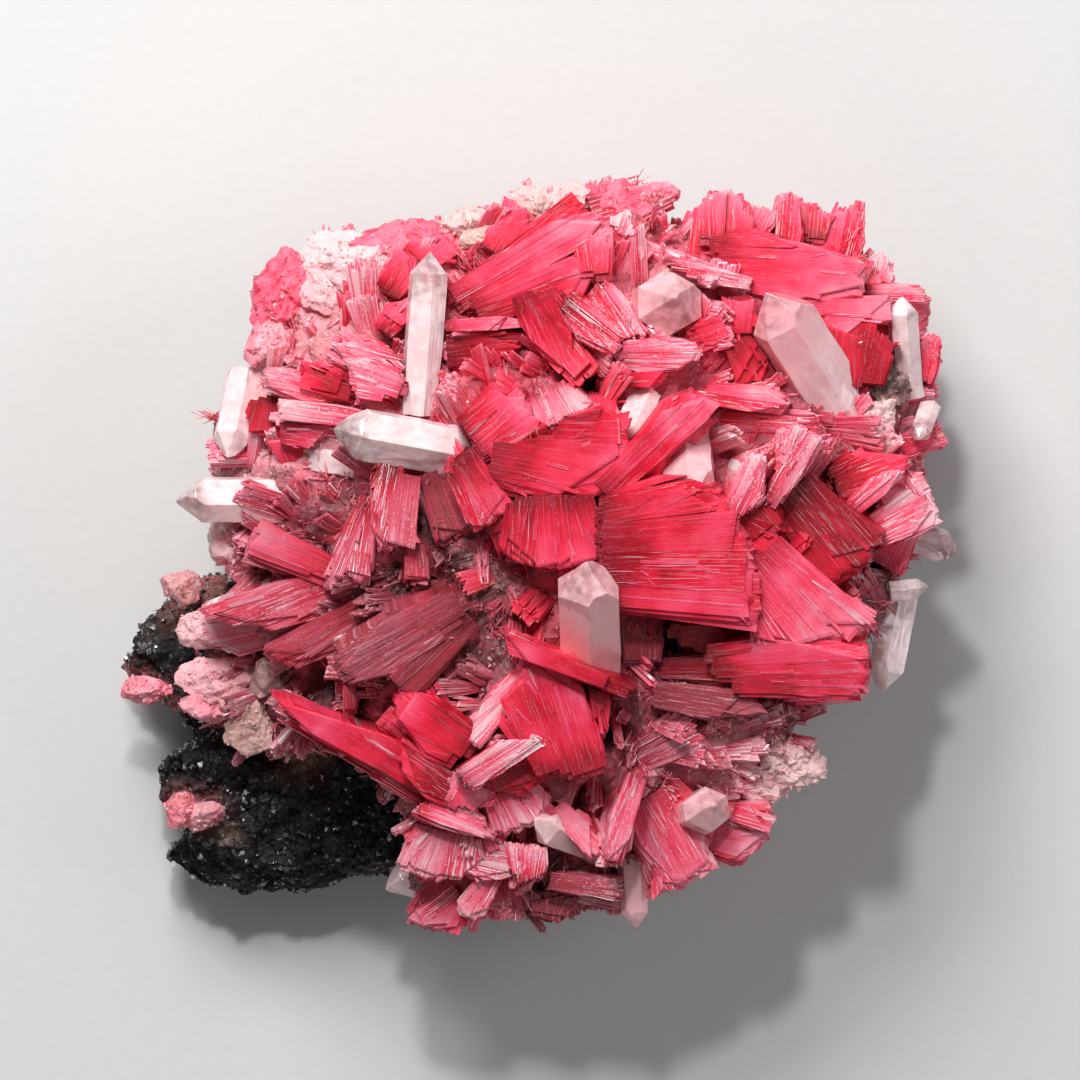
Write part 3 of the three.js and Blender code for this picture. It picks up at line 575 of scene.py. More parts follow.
# Broken lumps of massive rhodonite that swell out between the blades and on the rock: cream and pink
# along the top edge, tan and brown where iron has stained them.
LUMP_RINGS = 36
LUMP_SPOKES = 54
LUMP_PLANES = 16
LUMPS = [
    # x, y, z, three half widths in millimetres, then red, mauve, white, tan and brown from 0 to 1
    [-24.2, 27.2, 21.4, 3.4, 3.0, 2.4, 0.78, 0.0, 0.15, 0.0, 0.0],
    [-20.4, 29.4, 22.4, 3.4, 2.5, 2.0, 0.15, 0.0, 0.8, 0.0, 0.0],
    [-17.0, 28.4, 23.8, 3.3, 2.8, 2.0, 0.10, 0.0, 0.9, 0.0, 0.0],
    [-21.4, 26.4, 23.2, 3.0, 2.6, 1.8, 0.20, 0.0, 0.7, 0.0, 0.0],
    [-15.0, 30.8, 22.6, 3.5, 2.2, 2.2, 0.60, 0.0, 0.2, 0.0, 0.0],
    [-10.6, 31.2, 23.4, 3.8, 2.2, 2.2, 0.75, 0.0, 0.15, 0.0, 0.0],
    [-7.0, 33.2, 23.6, 2.6, 1.8, 2.0, 0.05, 0.0, 0.9, 0.4, 0.0],
    [-5.6, 31.6, 25.0, 2.2, 1.6, 1.4, 0.05, 0.0, 0.9, 0.7, 0.0],
    [-0.4, 34.8, 23.4, 2.8, 1.8, 2.0, 0.05, 0.0, 0.9, 0.5, 0.0],
    [2.8, 35.4, 23.2, 2.6, 1.8, 2.0, 0.2, 0.0, 0.7, 0.2, 0.0],
    [7.4, 35.6, 22.8, 2.8, 2.0, 2.0, 0.65, 0.0, 0.2, 0.0, 0.0],
    [11.6, 35.8, 22.0, 2.4, 1.6, 1.8, 0.40, 0.0, 0.3, 0.0, 0.0],
    [-26.6, 25.2, 21.4, 2.9, 2.8, 2.2, 0.75, 0.0, 0.15, 0.0, 0.0],
    [-27.2, 21.4, 22.0, 2.4, 2.8, 2.2, 0.30, 0.0, 0.5, 0.0, 0.0],
    [-33.2, -7.4, 17.2, 2.6, 2.2, 1.9, 0.25, 0.0, 0.7, 0.1, 0.0],
    [-31.4, 1.6, 21.0, 1.7, 2.6, 2.2, 0.15, 0.0, 0.8, 0.1, 0.0],
    [-30.2, -0.8, 20.4, 1.6, 1.8, 1.8, 0.35, 0.0, 0.5, 0.0, 0.0],
    [-29.2, -17.2, 18.6, 2.3, 2.5, 2.1, 0.2, 0.1, 0.5, 0.8, 0.25],
    [-30.2, -15.0, 18.6, 2.0, 1.8, 1.6, 0.2, 0.1, 0.5, 0.5, 0.0],
    [-26.6, -12.2, 20.0, 2.6, 2.2, 1.8, 0.2, 0.3, 0.3, 0.6, 0.5],
    [-32.6, -12.4, 17.8, 3.3, 2.3, 2.1, 0.30, 0.0, 0.65, 0.0, 0.0],
    [-33.0, -15.4, 17.2, 3.2, 1.6, 1.7, 0.35, 0.05, 0.55, 0.0, 0.0],
    [-36.2, -26.0, 13.6, 1.7, 1.6, 1.4, 0.55, 0.1, 0.2, 0.2, 0.1],
    [-34.0, -26.4, 13.6, 1.9, 1.4, 1.2, 0.3, 0.3, 0.5, 0.1, 0.1],
    [-39.6, -13.8, 12.0, 2.2, 1.2, 1.4, 0.4, 0.1, 0.3, 0.1, 0.0],
    [-36.2, -3.4, 15.4, 2.0, 1.5, 1.4, 0.3, 0.1, 0.4, 0.5, 0.0],
    [34.4, 17.2, 24.4, 2.3, 2.6, 1.9, 0.1, 0.3, 0.1, 0.3, 0.9],
    [33.4, 13.6, 25.6, 2.4, 1.8, 1.5, 0.1, 0.0, 0.9, 0.2, 0.0],
    [31.4, 11.8, 26.6, 1.7, 1.5, 1.3, 0.2, 0.0, 0.8, 0.1, 0.0],
    [24.8, -20.6, 25.6, 3.2, 2.4, 1.9, 0.12, 0.05, 0.9, 0.0, 0.0],
    [22.4, -23.2, 25.2, 2.4, 2.0, 1.8, 0.2, 0.1, 0.8, 0.0, 0.0],
    [9.4, 12.8, 32.2, 2.0, 2.6, 1.3, 0.1, 0.0, 0.95, 0.0, 0.0],
    [7.0, 24.2, 29.0, 2.2, 1.8, 1.3, 0.1, 0.0, 0.8, 0.2, 0.0],
]


def lump_points(row, seed):
    """A broken chunk: a ball cut by planes that face random ways, stretched to the half widths, and
    roughened by layers of noise."""
    x, y, z, *half = row[:6]
    down = np.linspace(0.06, math.pi - 0.06, LUMP_RINGS)
    around = np.arange(LUMP_SPOKES) / LUMP_SPOKES * 2 * math.pi
    down, around = np.meshgrid(down, around, indexing="ij")
    ball = np.stack([np.sin(down) * np.cos(around), np.sin(down) * np.sin(around), np.cos(down)], axis=-1)
    draw = np.random.default_rng(seed)
    cuts = unit(draw.normal(0, 1, (LUMP_PLANES, 3))) / draw.uniform(0.74, 1.05, (LUMP_PLANES, 1))
    ball = ball / np.maximum((ball @ cuts.T).max(axis=-1, keepdims=True), 0.8)
    flat = (ball * half + (x, y, z)).reshape(-1, 3)
    swell = 1 + 0.13 * rough_noise(flat, [0.9, 0.5, 0.3], seed)
    return ball.reshape(-1, 3) * swell[:, None] * half + (x, y, z)


lump_parts = [lump_points(row, 60 + k) for k, row in enumerate(LUMPS)]
lump_skin = np.concatenate(lump_parts)
points_each = len(lump_parts[0])
lump_faces = [
    np.concatenate([block + k * points_each for k in range(len(LUMPS))])
    for block in ring_faces(LUMP_RINGS, LUMP_SPOKES)
]
lump_marks = np.repeat([row[6:11] for row in LUMPS], points_each, axis=0)
no_gap_shade = np.zeros((len(lump_skin), 1))
make_piece(
    "massive_lumps", lump_skin, lump_faces, massive,
    {"tone": lump_marks[:, :3], "pit": np.concatenate([no_gap_shade, lump_marks[:, 3:]], axis=1)},
    ["rhodonite"],
)


# Sugar: fine angular grains of pink and white rhodonite and quartz that cover the lumps and fill the
# palest seams of the crust. They are coarser on the white druse at the lower right.
SUGAR_SIZES = (0.08, 0.36)  # half widths in millimetres
SUGAR_ON_LUMPS = 7000
SUGAR_ON_CRUST = 14000
SUGAR_ON_DRUSE = 240
SUGAR_FLOOR = 14  # none grow lower than this on the crust's sides, in millimetres
DRUSE_MIDDLE = (24.4, -21.4, 26.5)
DRUSE_REACH = 5.0
seam_marks = np.concatenate([crust_tone, np.zeros((len(crust_tone), 2))], axis=1)
draw = np.random.default_rng(31)
high = np.flatnonzero(crust_skin[:, 2] > SUGAR_FLOOR)
on_lumps = draw.integers(0, len(lump_skin), SUGAR_ON_LUMPS)
on_crust = draw.choice(high, SUGAR_ON_CRUST)
near_druse = np.flatnonzero(np.linalg.norm(lump_skin - DRUSE_MIDDLE, axis=1) < DRUSE_REACH)
on_druse = draw.choice(near_druse, SUGAR_ON_DRUSE)
sugar_middles = np.concatenate([lump_skin[on_lumps], crust_skin[on_crust], lump_skin[on_druse]])
sugar_marks = np.concatenate([lump_marks[on_lumps], seam_marks[on_crust], lump_marks[on_druse]])
count = len(sugar_marks)
sugar_marks = sugar_marks + draw.normal(0, 0.15, (count, 1))
sugar_marks[:, 2] += 0.6 * (draw.uniform(0, 1, count) < 0.2)
sizes = SUGAR_SIZES[0] + (SUGAR_SIZES[1] - SUGAR_SIZES[0]) * draw.uniform(0, 1, count) ** 2
sizes[-SUGAR_ON_DRUSE:] += draw.uniform(0.25, 0.6, SUGAR_ON_DRUSE)
sugar = grain_points(sugar_middles, sizes, draw)
sugar_marks = np.repeat(np.clip(sugar_marks, 0, 1), 6, axis=0)
no_gap_shade = np.zeros((len(sugar), 1))
make_piece(
    "sugar_grains", sugar, grain_faces(count), massive,
    {"tone": sugar_marks[:, :3], "pit": np.concatenate([no_gap_shade, sugar_marks[:, 3:]], axis=1)},
    ["rhodonite"],
)


# Quartz: six-sided points, milky where they are rooted and clear towards the tip, each grown in
# the crust. Their faces step in fine growth lines across the prism.
GROWTH_STEP = 0.05  # height of the broad growth steps, in millimetres
FINE_STEP = 0.02  # height of the fine ones between them
WORN_EDGE = 0.00009  # width of the worn edges, in metres
QUARTZ = {
    # foot [x, y, z], tip [x, y, z], how milky the foot and the tip are, and how pink they are; the pink is
    # partly the quartz's own tint and partly painted red of the blades seen through and in the crystal
    "quartz_upright": [-12.0, 14.0, 29.2, -10.9, 30.1, 31.8, 0.95, 0.32, 0.1, 0.25],
    "quartz_lying": [-7.0, 9.9, 30.4, -20.5, 12.4, 35.4, 0.9, 0.22, 0.15, 0.1],
    "quartz_left_point": [-25.6, 5.4, 24.8, -36.4, 5.3, 26.6, 0.8, 0.3, 0.1, 0.3],
    "quartz_left_inner": [-25.4, 10.2, 25.2, -15.6, 8.4, 29.8, 0.7, 0.4, 0.2, 0.2],
    "quartz_centre": [5.0, -12.4, 31.0, 4.6, -0.7, 41.6, 0.95, 0.5, 1.0, 0.8],
    "quartz_upper_right": [30.2, 14.2, 24.8, 22.4, 26.0, 33.0, 0.95, 0.55, 0.1, 1.2],
    "quartz_end_on_top": [11.8, 24.2, 24.5, 13.6, 25.4, 35.0, 0.65, 0.5, 0.5, 1.0],
    "quartz_middle": [14.4, 12.8, 29.4, 15.0, 4.9, 38.6, 0.8, 0.6, 0.5, 0.8],
    "quartz_right_tooth": [36.2, 2.2, 21.6, 42.1, 0.1, 20.6, 0.4, 0.1, 0.2, 0.3],
    "quartz_lower_right": [36.4, -3.4, 20.0, 34.3, -13.9, 21.5, 0.9, 0.7, 0.0, 0.0],
    "quartz_right_small": [35.0, -3.8, 24.6, 38.9, -3.3, 24.4, 0.4, 0.1, 0.1, 0.1],
    "quartz_bottom_point": [9.2, -30.6, 25.4, 9.6, -37.4, 26.5, 0.9, 0.5, 0.5, 0.9],
    "quartz_end_on_low": [14.8, -26.6, 23.0, 17.4, -25.0, 33.5, 0.75, 0.5, 0.6, 0.8],
    "quartz_low_pale": [6.2, -29.2, 26.0, -0.6, -26.4, 32.2, 0.9, 0.6, 0.4, 0.6],
    "quartz_right_edge": [39.0, 14.6, 21.6, 37.8, 11.4, 26.2, 0.5, 0.2, 0.3, 0.3],
    "quartz_right_tall": [37.0, 15.8, 21.6, 36.2, 25.8, 25.4, 0.8, 0.5, 0.2, 0.2],
    "quartz_centre_pale": [10.6, 15.6, 30.2, 8.0, 10.0, 34.8, 0.95, 0.8, 0.3, 0.3],
    "quartz_left_block": [-29.6, 18.0, 21.0, -31.2, 9.6, 26.0, 0.8, 0.6, 0.3, 0.3],
    "quartz_foot": [-9.5, -31.0, 14.5, -15.6, -33.8, 16.2, 0.8, 0.7, 0.1, 0.1],
}


def quartz_finish():
    """Clear quartz with milky clouds: plain see-through glass of quartz's own bending of light, with a
    soft pinkish body mixed in where the crystal is milky, and a few grey specks near the foot. Where
    the crystal is pink, the clear glass and the milky body are tinted pink, partly its own tint and
    partly painted red of the blades seen through it."""
    made = Finish("quartz")
    place = made.place()
    milk, pink = made.parts("milk")[:2]
    cloud = made.noise(place, 260.0)
    wisps = made.noise(place, 1100.0, 2.0)
    specks = made.noise(place, 1500.0, 2.0).ramp(0.64, 0.72)
    share = 0.16 + 0.80 * (milk + 0.8 * (cloud - 0.5) + 0.6 * (wisps - 0.5)).ramp(0.0, 0.75)
    # Partly painted red: the clear glass is tinted pink where the crystal is pink, for the red blades seen
    # through it.
    clear_tint_and_painted_red = made.mix(pink * 0.9, (1.0, 0.96, 0.97, 1), (1.0, 0.50, 0.57, 1))
    clear = made.principled({
        "Base Color": clear_tint_and_painted_red, "Roughness": 0.02, "IOR": 1.54, "Transmission Weight": 1.0,
    })
    clouded = (0.6 * cloud + 0.4 * wisps).ramp(0.38, 0.60)
    tint = made.mix(clouded, (0.85, 0.66, 0.67, 1), (0.95, 0.84, 0.84, 1))
    # Partly painted red: the milky body turns pink where the crystal is pink, partly its own tint and partly
    # the red blades seen through it.
    tint = made.mix(pink * (0.62 + 0.7 * (cloud - 0.4)), tint, (0.84, 0.27, 0.32, 1))
    tint = made.mix(specks * milk * 0.2, tint, (0.34, 0.25, 0.26, 1))
    milky = made.principled({
        "Base Color": tint, "Roughness": 0.12, "IOR": 1.54,
        "Subsurface Weight": 0.25, "Subsurface Radius": (1.0, 0.6, 0.62), "Subsurface Scale": 0.0015,
    })
    body = made.node("MixShader", None, {0: share, 1: clear, 2: milky})
    haze = made.node("VolumeAbsorption", None, {"Color": (1.0, 0.75, 0.78, 1), "Density": 60.0})
    return made.close(body, haze)


def grown(corners, foot, tip, seed):
    """Growth lines and swelling: every point moves away from the crystal's own axis by uneven steps
    that run along it, by a slow swell, and by an uneven skin at the broken foot."""
    length = np.linalg.norm(tip - foot)
    axis = (tip - foot) / length
    along = (corners - foot) @ axis
    away = corners - foot - along[:, None] * axis
    reach = np.linalg.norm(away, axis=1, keepdims=True)
    still = 0 * along
    wave = lattice_noise(np.stack([along * 1.1, still, still + seed], axis=1), seed)
    fine = lattice_noise(np.stack([along * 3.4, still, still + seed], axis=1), seed + 1)
    steps = np.round(wave * 2.5) / 2.5 * GROWTH_STEP + np.round(fine * 2) / 2 * FINE_STEP
    swell = 0.10 * lattice_noise(corners / 4.5, seed + 2)
    low = np.clip(1.2 - along / (0.25 * length), 0, 1)
    uneven = 0.30 * low * rough_noise(corners, [1.1, 0.5], seed + 3)
    body = np.clip(reach[:, 0] / 1.4, 0, 1) ** 2
    outward = away / np.maximum(reach, 1e-6)
    return corners + outward * ((steps + swell + uneven - 0.08) * body)[:, None], along


quartz = quartz_finish()
for number, (name, row) in enumerate(QUARTZ.items()):
    foot = np.array(row[:3])
    tip = np.array(row[3:6])
    foot_milk, tip_milk, foot_pink, tip_pink = row[6:]
    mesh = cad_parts[name].data.copy()
    mesh.name = name + "_crystal"
    crystal = bpy.data.objects.new(name + "_crystal", mesh)
    bpy.context.scene.collection.objects.link(crystal)
    mesh.materials.clear()
    mesh.materials.append(quartz)
    weld = crystal.modifiers.new("weld", "WELD")
    weld.merge_threshold = 0.00001
    flat = crystal.modifiers.new("flat_faces", "DECIMATE")
    flat.decimate_type = "DISSOLVE"
    flat.angle_limit = math.radians(2)
    edge = crystal.modifiers.new("worn_edges", "BEVEL")
    edge.width = WORN_EDGE
    edge.segments = 2
    edge.limit_method = "ANGLE"
    fine = crystal.modifiers.new("fine_faces", "SUBSURF")
    fine.subdivision_type = "SIMPLE"
    fine.levels = 3
    fine.render_levels = 3
    bpy.context.view_layer.update()
    shaped = crystal.evaluated_get(bpy.context.evaluated_depsgraph_get())
    final = bpy.data.meshes.new_from_object(shaped)
    crystal.modifiers.clear()
    crystal.data = final
    corners = np.zeros(len(final.vertices) * 3, np.float32)
    final.vertices.foreach_get("co", corners)
    corners, along = grown(corners.reshape(-1, 3) * 1000.0, foot, tip, 500 + 10 * number)
    final.vertices.foreach_set("co", (corners * 0.001).astype(np.float32).ravel())
    final.polygons.foreach_set("use_smooth", np.zeros(len(final.polygons), bool))
    share = np.clip(along / np.linalg.norm(tip - foot), 0, 1)
    clearing = np.clip((share - 0.5) / 0.42, 0, 1)
    milk = foot_milk + (tip_milk - foot_milk) * clearing**2 * (3 - 2 * clearing)
    pink = foot_pink + (tip_pink - foot_pink) * share
    attribute = final.attributes.new("milk", "FLOAT_VECTOR", "POINT")
    marks = np.stack([milk, pink, 0 * pink], axis=1)
    attribute.data.foreach_set("vector", marks.astype(np.float32).ravel())
    final.update()
    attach(crystal, "root")
    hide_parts(name)


# The blades: flat laths of clear red rhodonite that grew side by side in stepped plates, sheaves
# and fans. Each has a sharp flat section, a slanting chisel end and fine lines along its length.

# Corners round the section, across and through it, as shares of half its width and thickness.
BLADE_SECTION = np.array([(-1, 0), (-0.994, -1), (0.994, -1), (1, 0), (0.994, 1), (-0.994, 1)], float)
# From root to tip: the share of the length, and the factors on the width and the thickness.
BLADE_STATIONS = np.array([(0, 1, 1), (0.965, 1, 1), (1, 0.95, 0.45)], float)
LATH_SHIFT = 0.37  # moves each lath to its own stretch of the noise
LATH_CHANCE = 7.31  # spreads the laths' own numbers from 0 to 1
BROAD_LATH = 1.15  # groups with laths wider than this, in millimetres, are broad plates
BLADE_SUNK = 3.0  # how far below the dome the groups are rooted, in millimetres


def lath_mesh(laths, section, stations):
    """Many laths as arrays. A row says where a lath starts and ends, the directions across it and
    out of its face, its widths at root and tip, its thickness, its slant, and how red, mauve and
    white it is. Its section is carried from root to tip through the stations, and the rings at the
    tip lean by the slant. Gives the points, the faces and what the finish reads at each point."""
    start, tip, across, face = (laths[:, k : k + 3] for k in (0, 3, 6, 9))
    root_width, tip_width, thick, slant = (laths[:, k] for k in (12, 13, 14, 15))
    tone = laths[:, 16:19]
    count, rings, sides = len(laths), len(stations), len(section)
    t, wide, deep = (stations[None, :, None, k] for k in range(3))
    u, v = (section[None, None, :, k] for k in range(2))
    width = (root_width[:, None, None] * (1 - t) + tip_width[:, None, None] * t) * wide
    length = np.linalg.norm(tip - start, axis=1)
    leaning = np.abs(slant) / length
    lean = (t > 0.7) * leaning[:, None, None] * (0.5 + 0.5 * u * np.sign(slant)[:, None, None])
    reach = t - lean
    offset_u = (u * width / 2)[..., None] * across[:, None, None]
    offset_v = (v * thick[:, None, None] / 2 * deep)[..., None] * face[:, None, None]
    points = start[:, None, None] + (tip - start)[:, None, None] * reach[..., None] + offset_u + offset_v
    lath, ring, side = np.meshgrid(np.arange(count), np.arange(rings - 1), np.arange(sides), indexing="ij")
    here = (lath * rings + ring) * sides
    after = (side + 1) % sides
    quads = np.stack([here + side, here + after, here + sides + after, here + sides + side], axis=-1)
    ends = np.arange(count)[:, None] * rings * sides + np.arange(sides)[None]
    faces = [quads.reshape(-1, 4), ends[:, ::-1], ends + (rings - 1) * sides]
    own = np.arange(count)[:, None, None] * LATH_SHIFT
    full = np.ones((count, rings, sides))
    strip = np.stack([u * width / 2 + own, t * length[:, None, None] * full, own * full], axis=-1)
    where = np.stack([t * full, u * full, np.modf(own * LATH_CHANCE)[0] * full], axis=-1)
    tones = np.broadcast_to(tone[:, None, None], points.shape)
    flat = [a.reshape(-1, 3) for a in (points, strip, where, tones)]
    return flat[0], faces, {"strip": flat[1], "place": flat[2], "tone": flat[3]}


def twisted(across, face, angle):
    """The directions across a lath and out of its face, turned about its length by an angle."""
    return [across * np.cos(angle) + face * np.sin(angle), face * np.cos(angle) - across * np.sin(angle)]


def fan_laths(start, tip, root_width, tip_width, thick, turn, lath, tone, wild, draw, sheet_thick=0.34):
    """One group of blades. Sheets lie on each other through its thickness. Each sheet is cut by chance
    into laths of uneven width that touch, almost level, and spread from the root's width to the tip's.
    Broad plates keep one to three wide laths in their outer sheets. The outer sheets are shorter and
    narrower, so the plate is stepped, and each lath turns, leans and ends by chance."""
    length = np.linalg.norm(tip - start)
    along = (tip - start) / length
    up = unit(np.array([0, 0, 1.0]) - along * along[2])
    angle = math.radians(turn)
    face = up * math.cos(angle) + np.cross(along, up) * math.sin(angle)
    across = np.cross(along, face)
    columns = max(3, round(max(root_width, tip_width) / (0.58 * lath)))
    sheets = max(2, round(thick / sheet_thick))
    rows = []
    for k in range(sheets):
        level = (k + 0.5) / sheets - 0.5
        outer = abs(level) * 2
        count = columns
        if lath > BROAD_LATH and outer > 0.3:
            count = int(draw.integers(1, 4))
        cuts = np.sort(np.concatenate([[0, 1], draw.uniform(0.06, 0.94, count - 1)])) - 0.5
        share = 1 - outer * draw.uniform(0.0, 0.3)
        shift = (1 - share) * draw.uniform(-0.5, 0.5)
        s = (cuts[:-1] + cuts[1:]) / 2 * share + shift
        wide = np.diff(cuts) * share + 0.03
        q = level + (0.05 + 0.8 * wild) * draw.uniform(-0.5, 0.5, count) / sheets
        reach = 1 - outer * draw.uniform(0.0, 0.34) - (0.05 + wild) * draw.uniform(0, 1, count) ** 2
        swing = draw.normal(0, 0.012 + 0.06 * wild) * length
        sway = length * (0.002 + 0.09 * wild)
        aside = s * tip_width * reach + swing + sway * draw.normal(0, 1, count)
        lifted = q * thick * 0.9 + 0.4 * sway * draw.normal(0, 1, count)
        root = start + across * (s * root_width)[:, None] + face * (q * thick * 0.9)[:, None]
        end = start + along * (length * reach)[:, None] + across * aside[:, None] + face * lifted[:, None]
        twist = np.radians(draw.normal(0, 0.3 + 18 * wild, count))[:, None]
        tapered = 1 - 0.4 * wild * draw.uniform(0, 1, count)
        widths = np.maximum(np.stack([root_width * wide, tip_width * wide * tapered], axis=1), 0.15)
        thickness = thick / sheets * draw.uniform(0.9, 1.2, (count, 1))
        slant = widths[:, 1] * np.clip(draw.normal(0, 0.3) + draw.uniform(-0.5, 0.5, count), -1, 1)
        slant = np.clip(slant, -0.2 * length, 0.2 * length)[:, None]
        tones = np.clip(np.array(tone) + draw.normal(0, 1, (count, 1)) * (0.04, 0.04, 0.05), 0, 1)
        parts = [root, end, *twisted(across, face, twist), widths, thickness, slant, tones]
        rows.append(np.concatenate(parts, axis=1))
    return np.concatenate(rows)


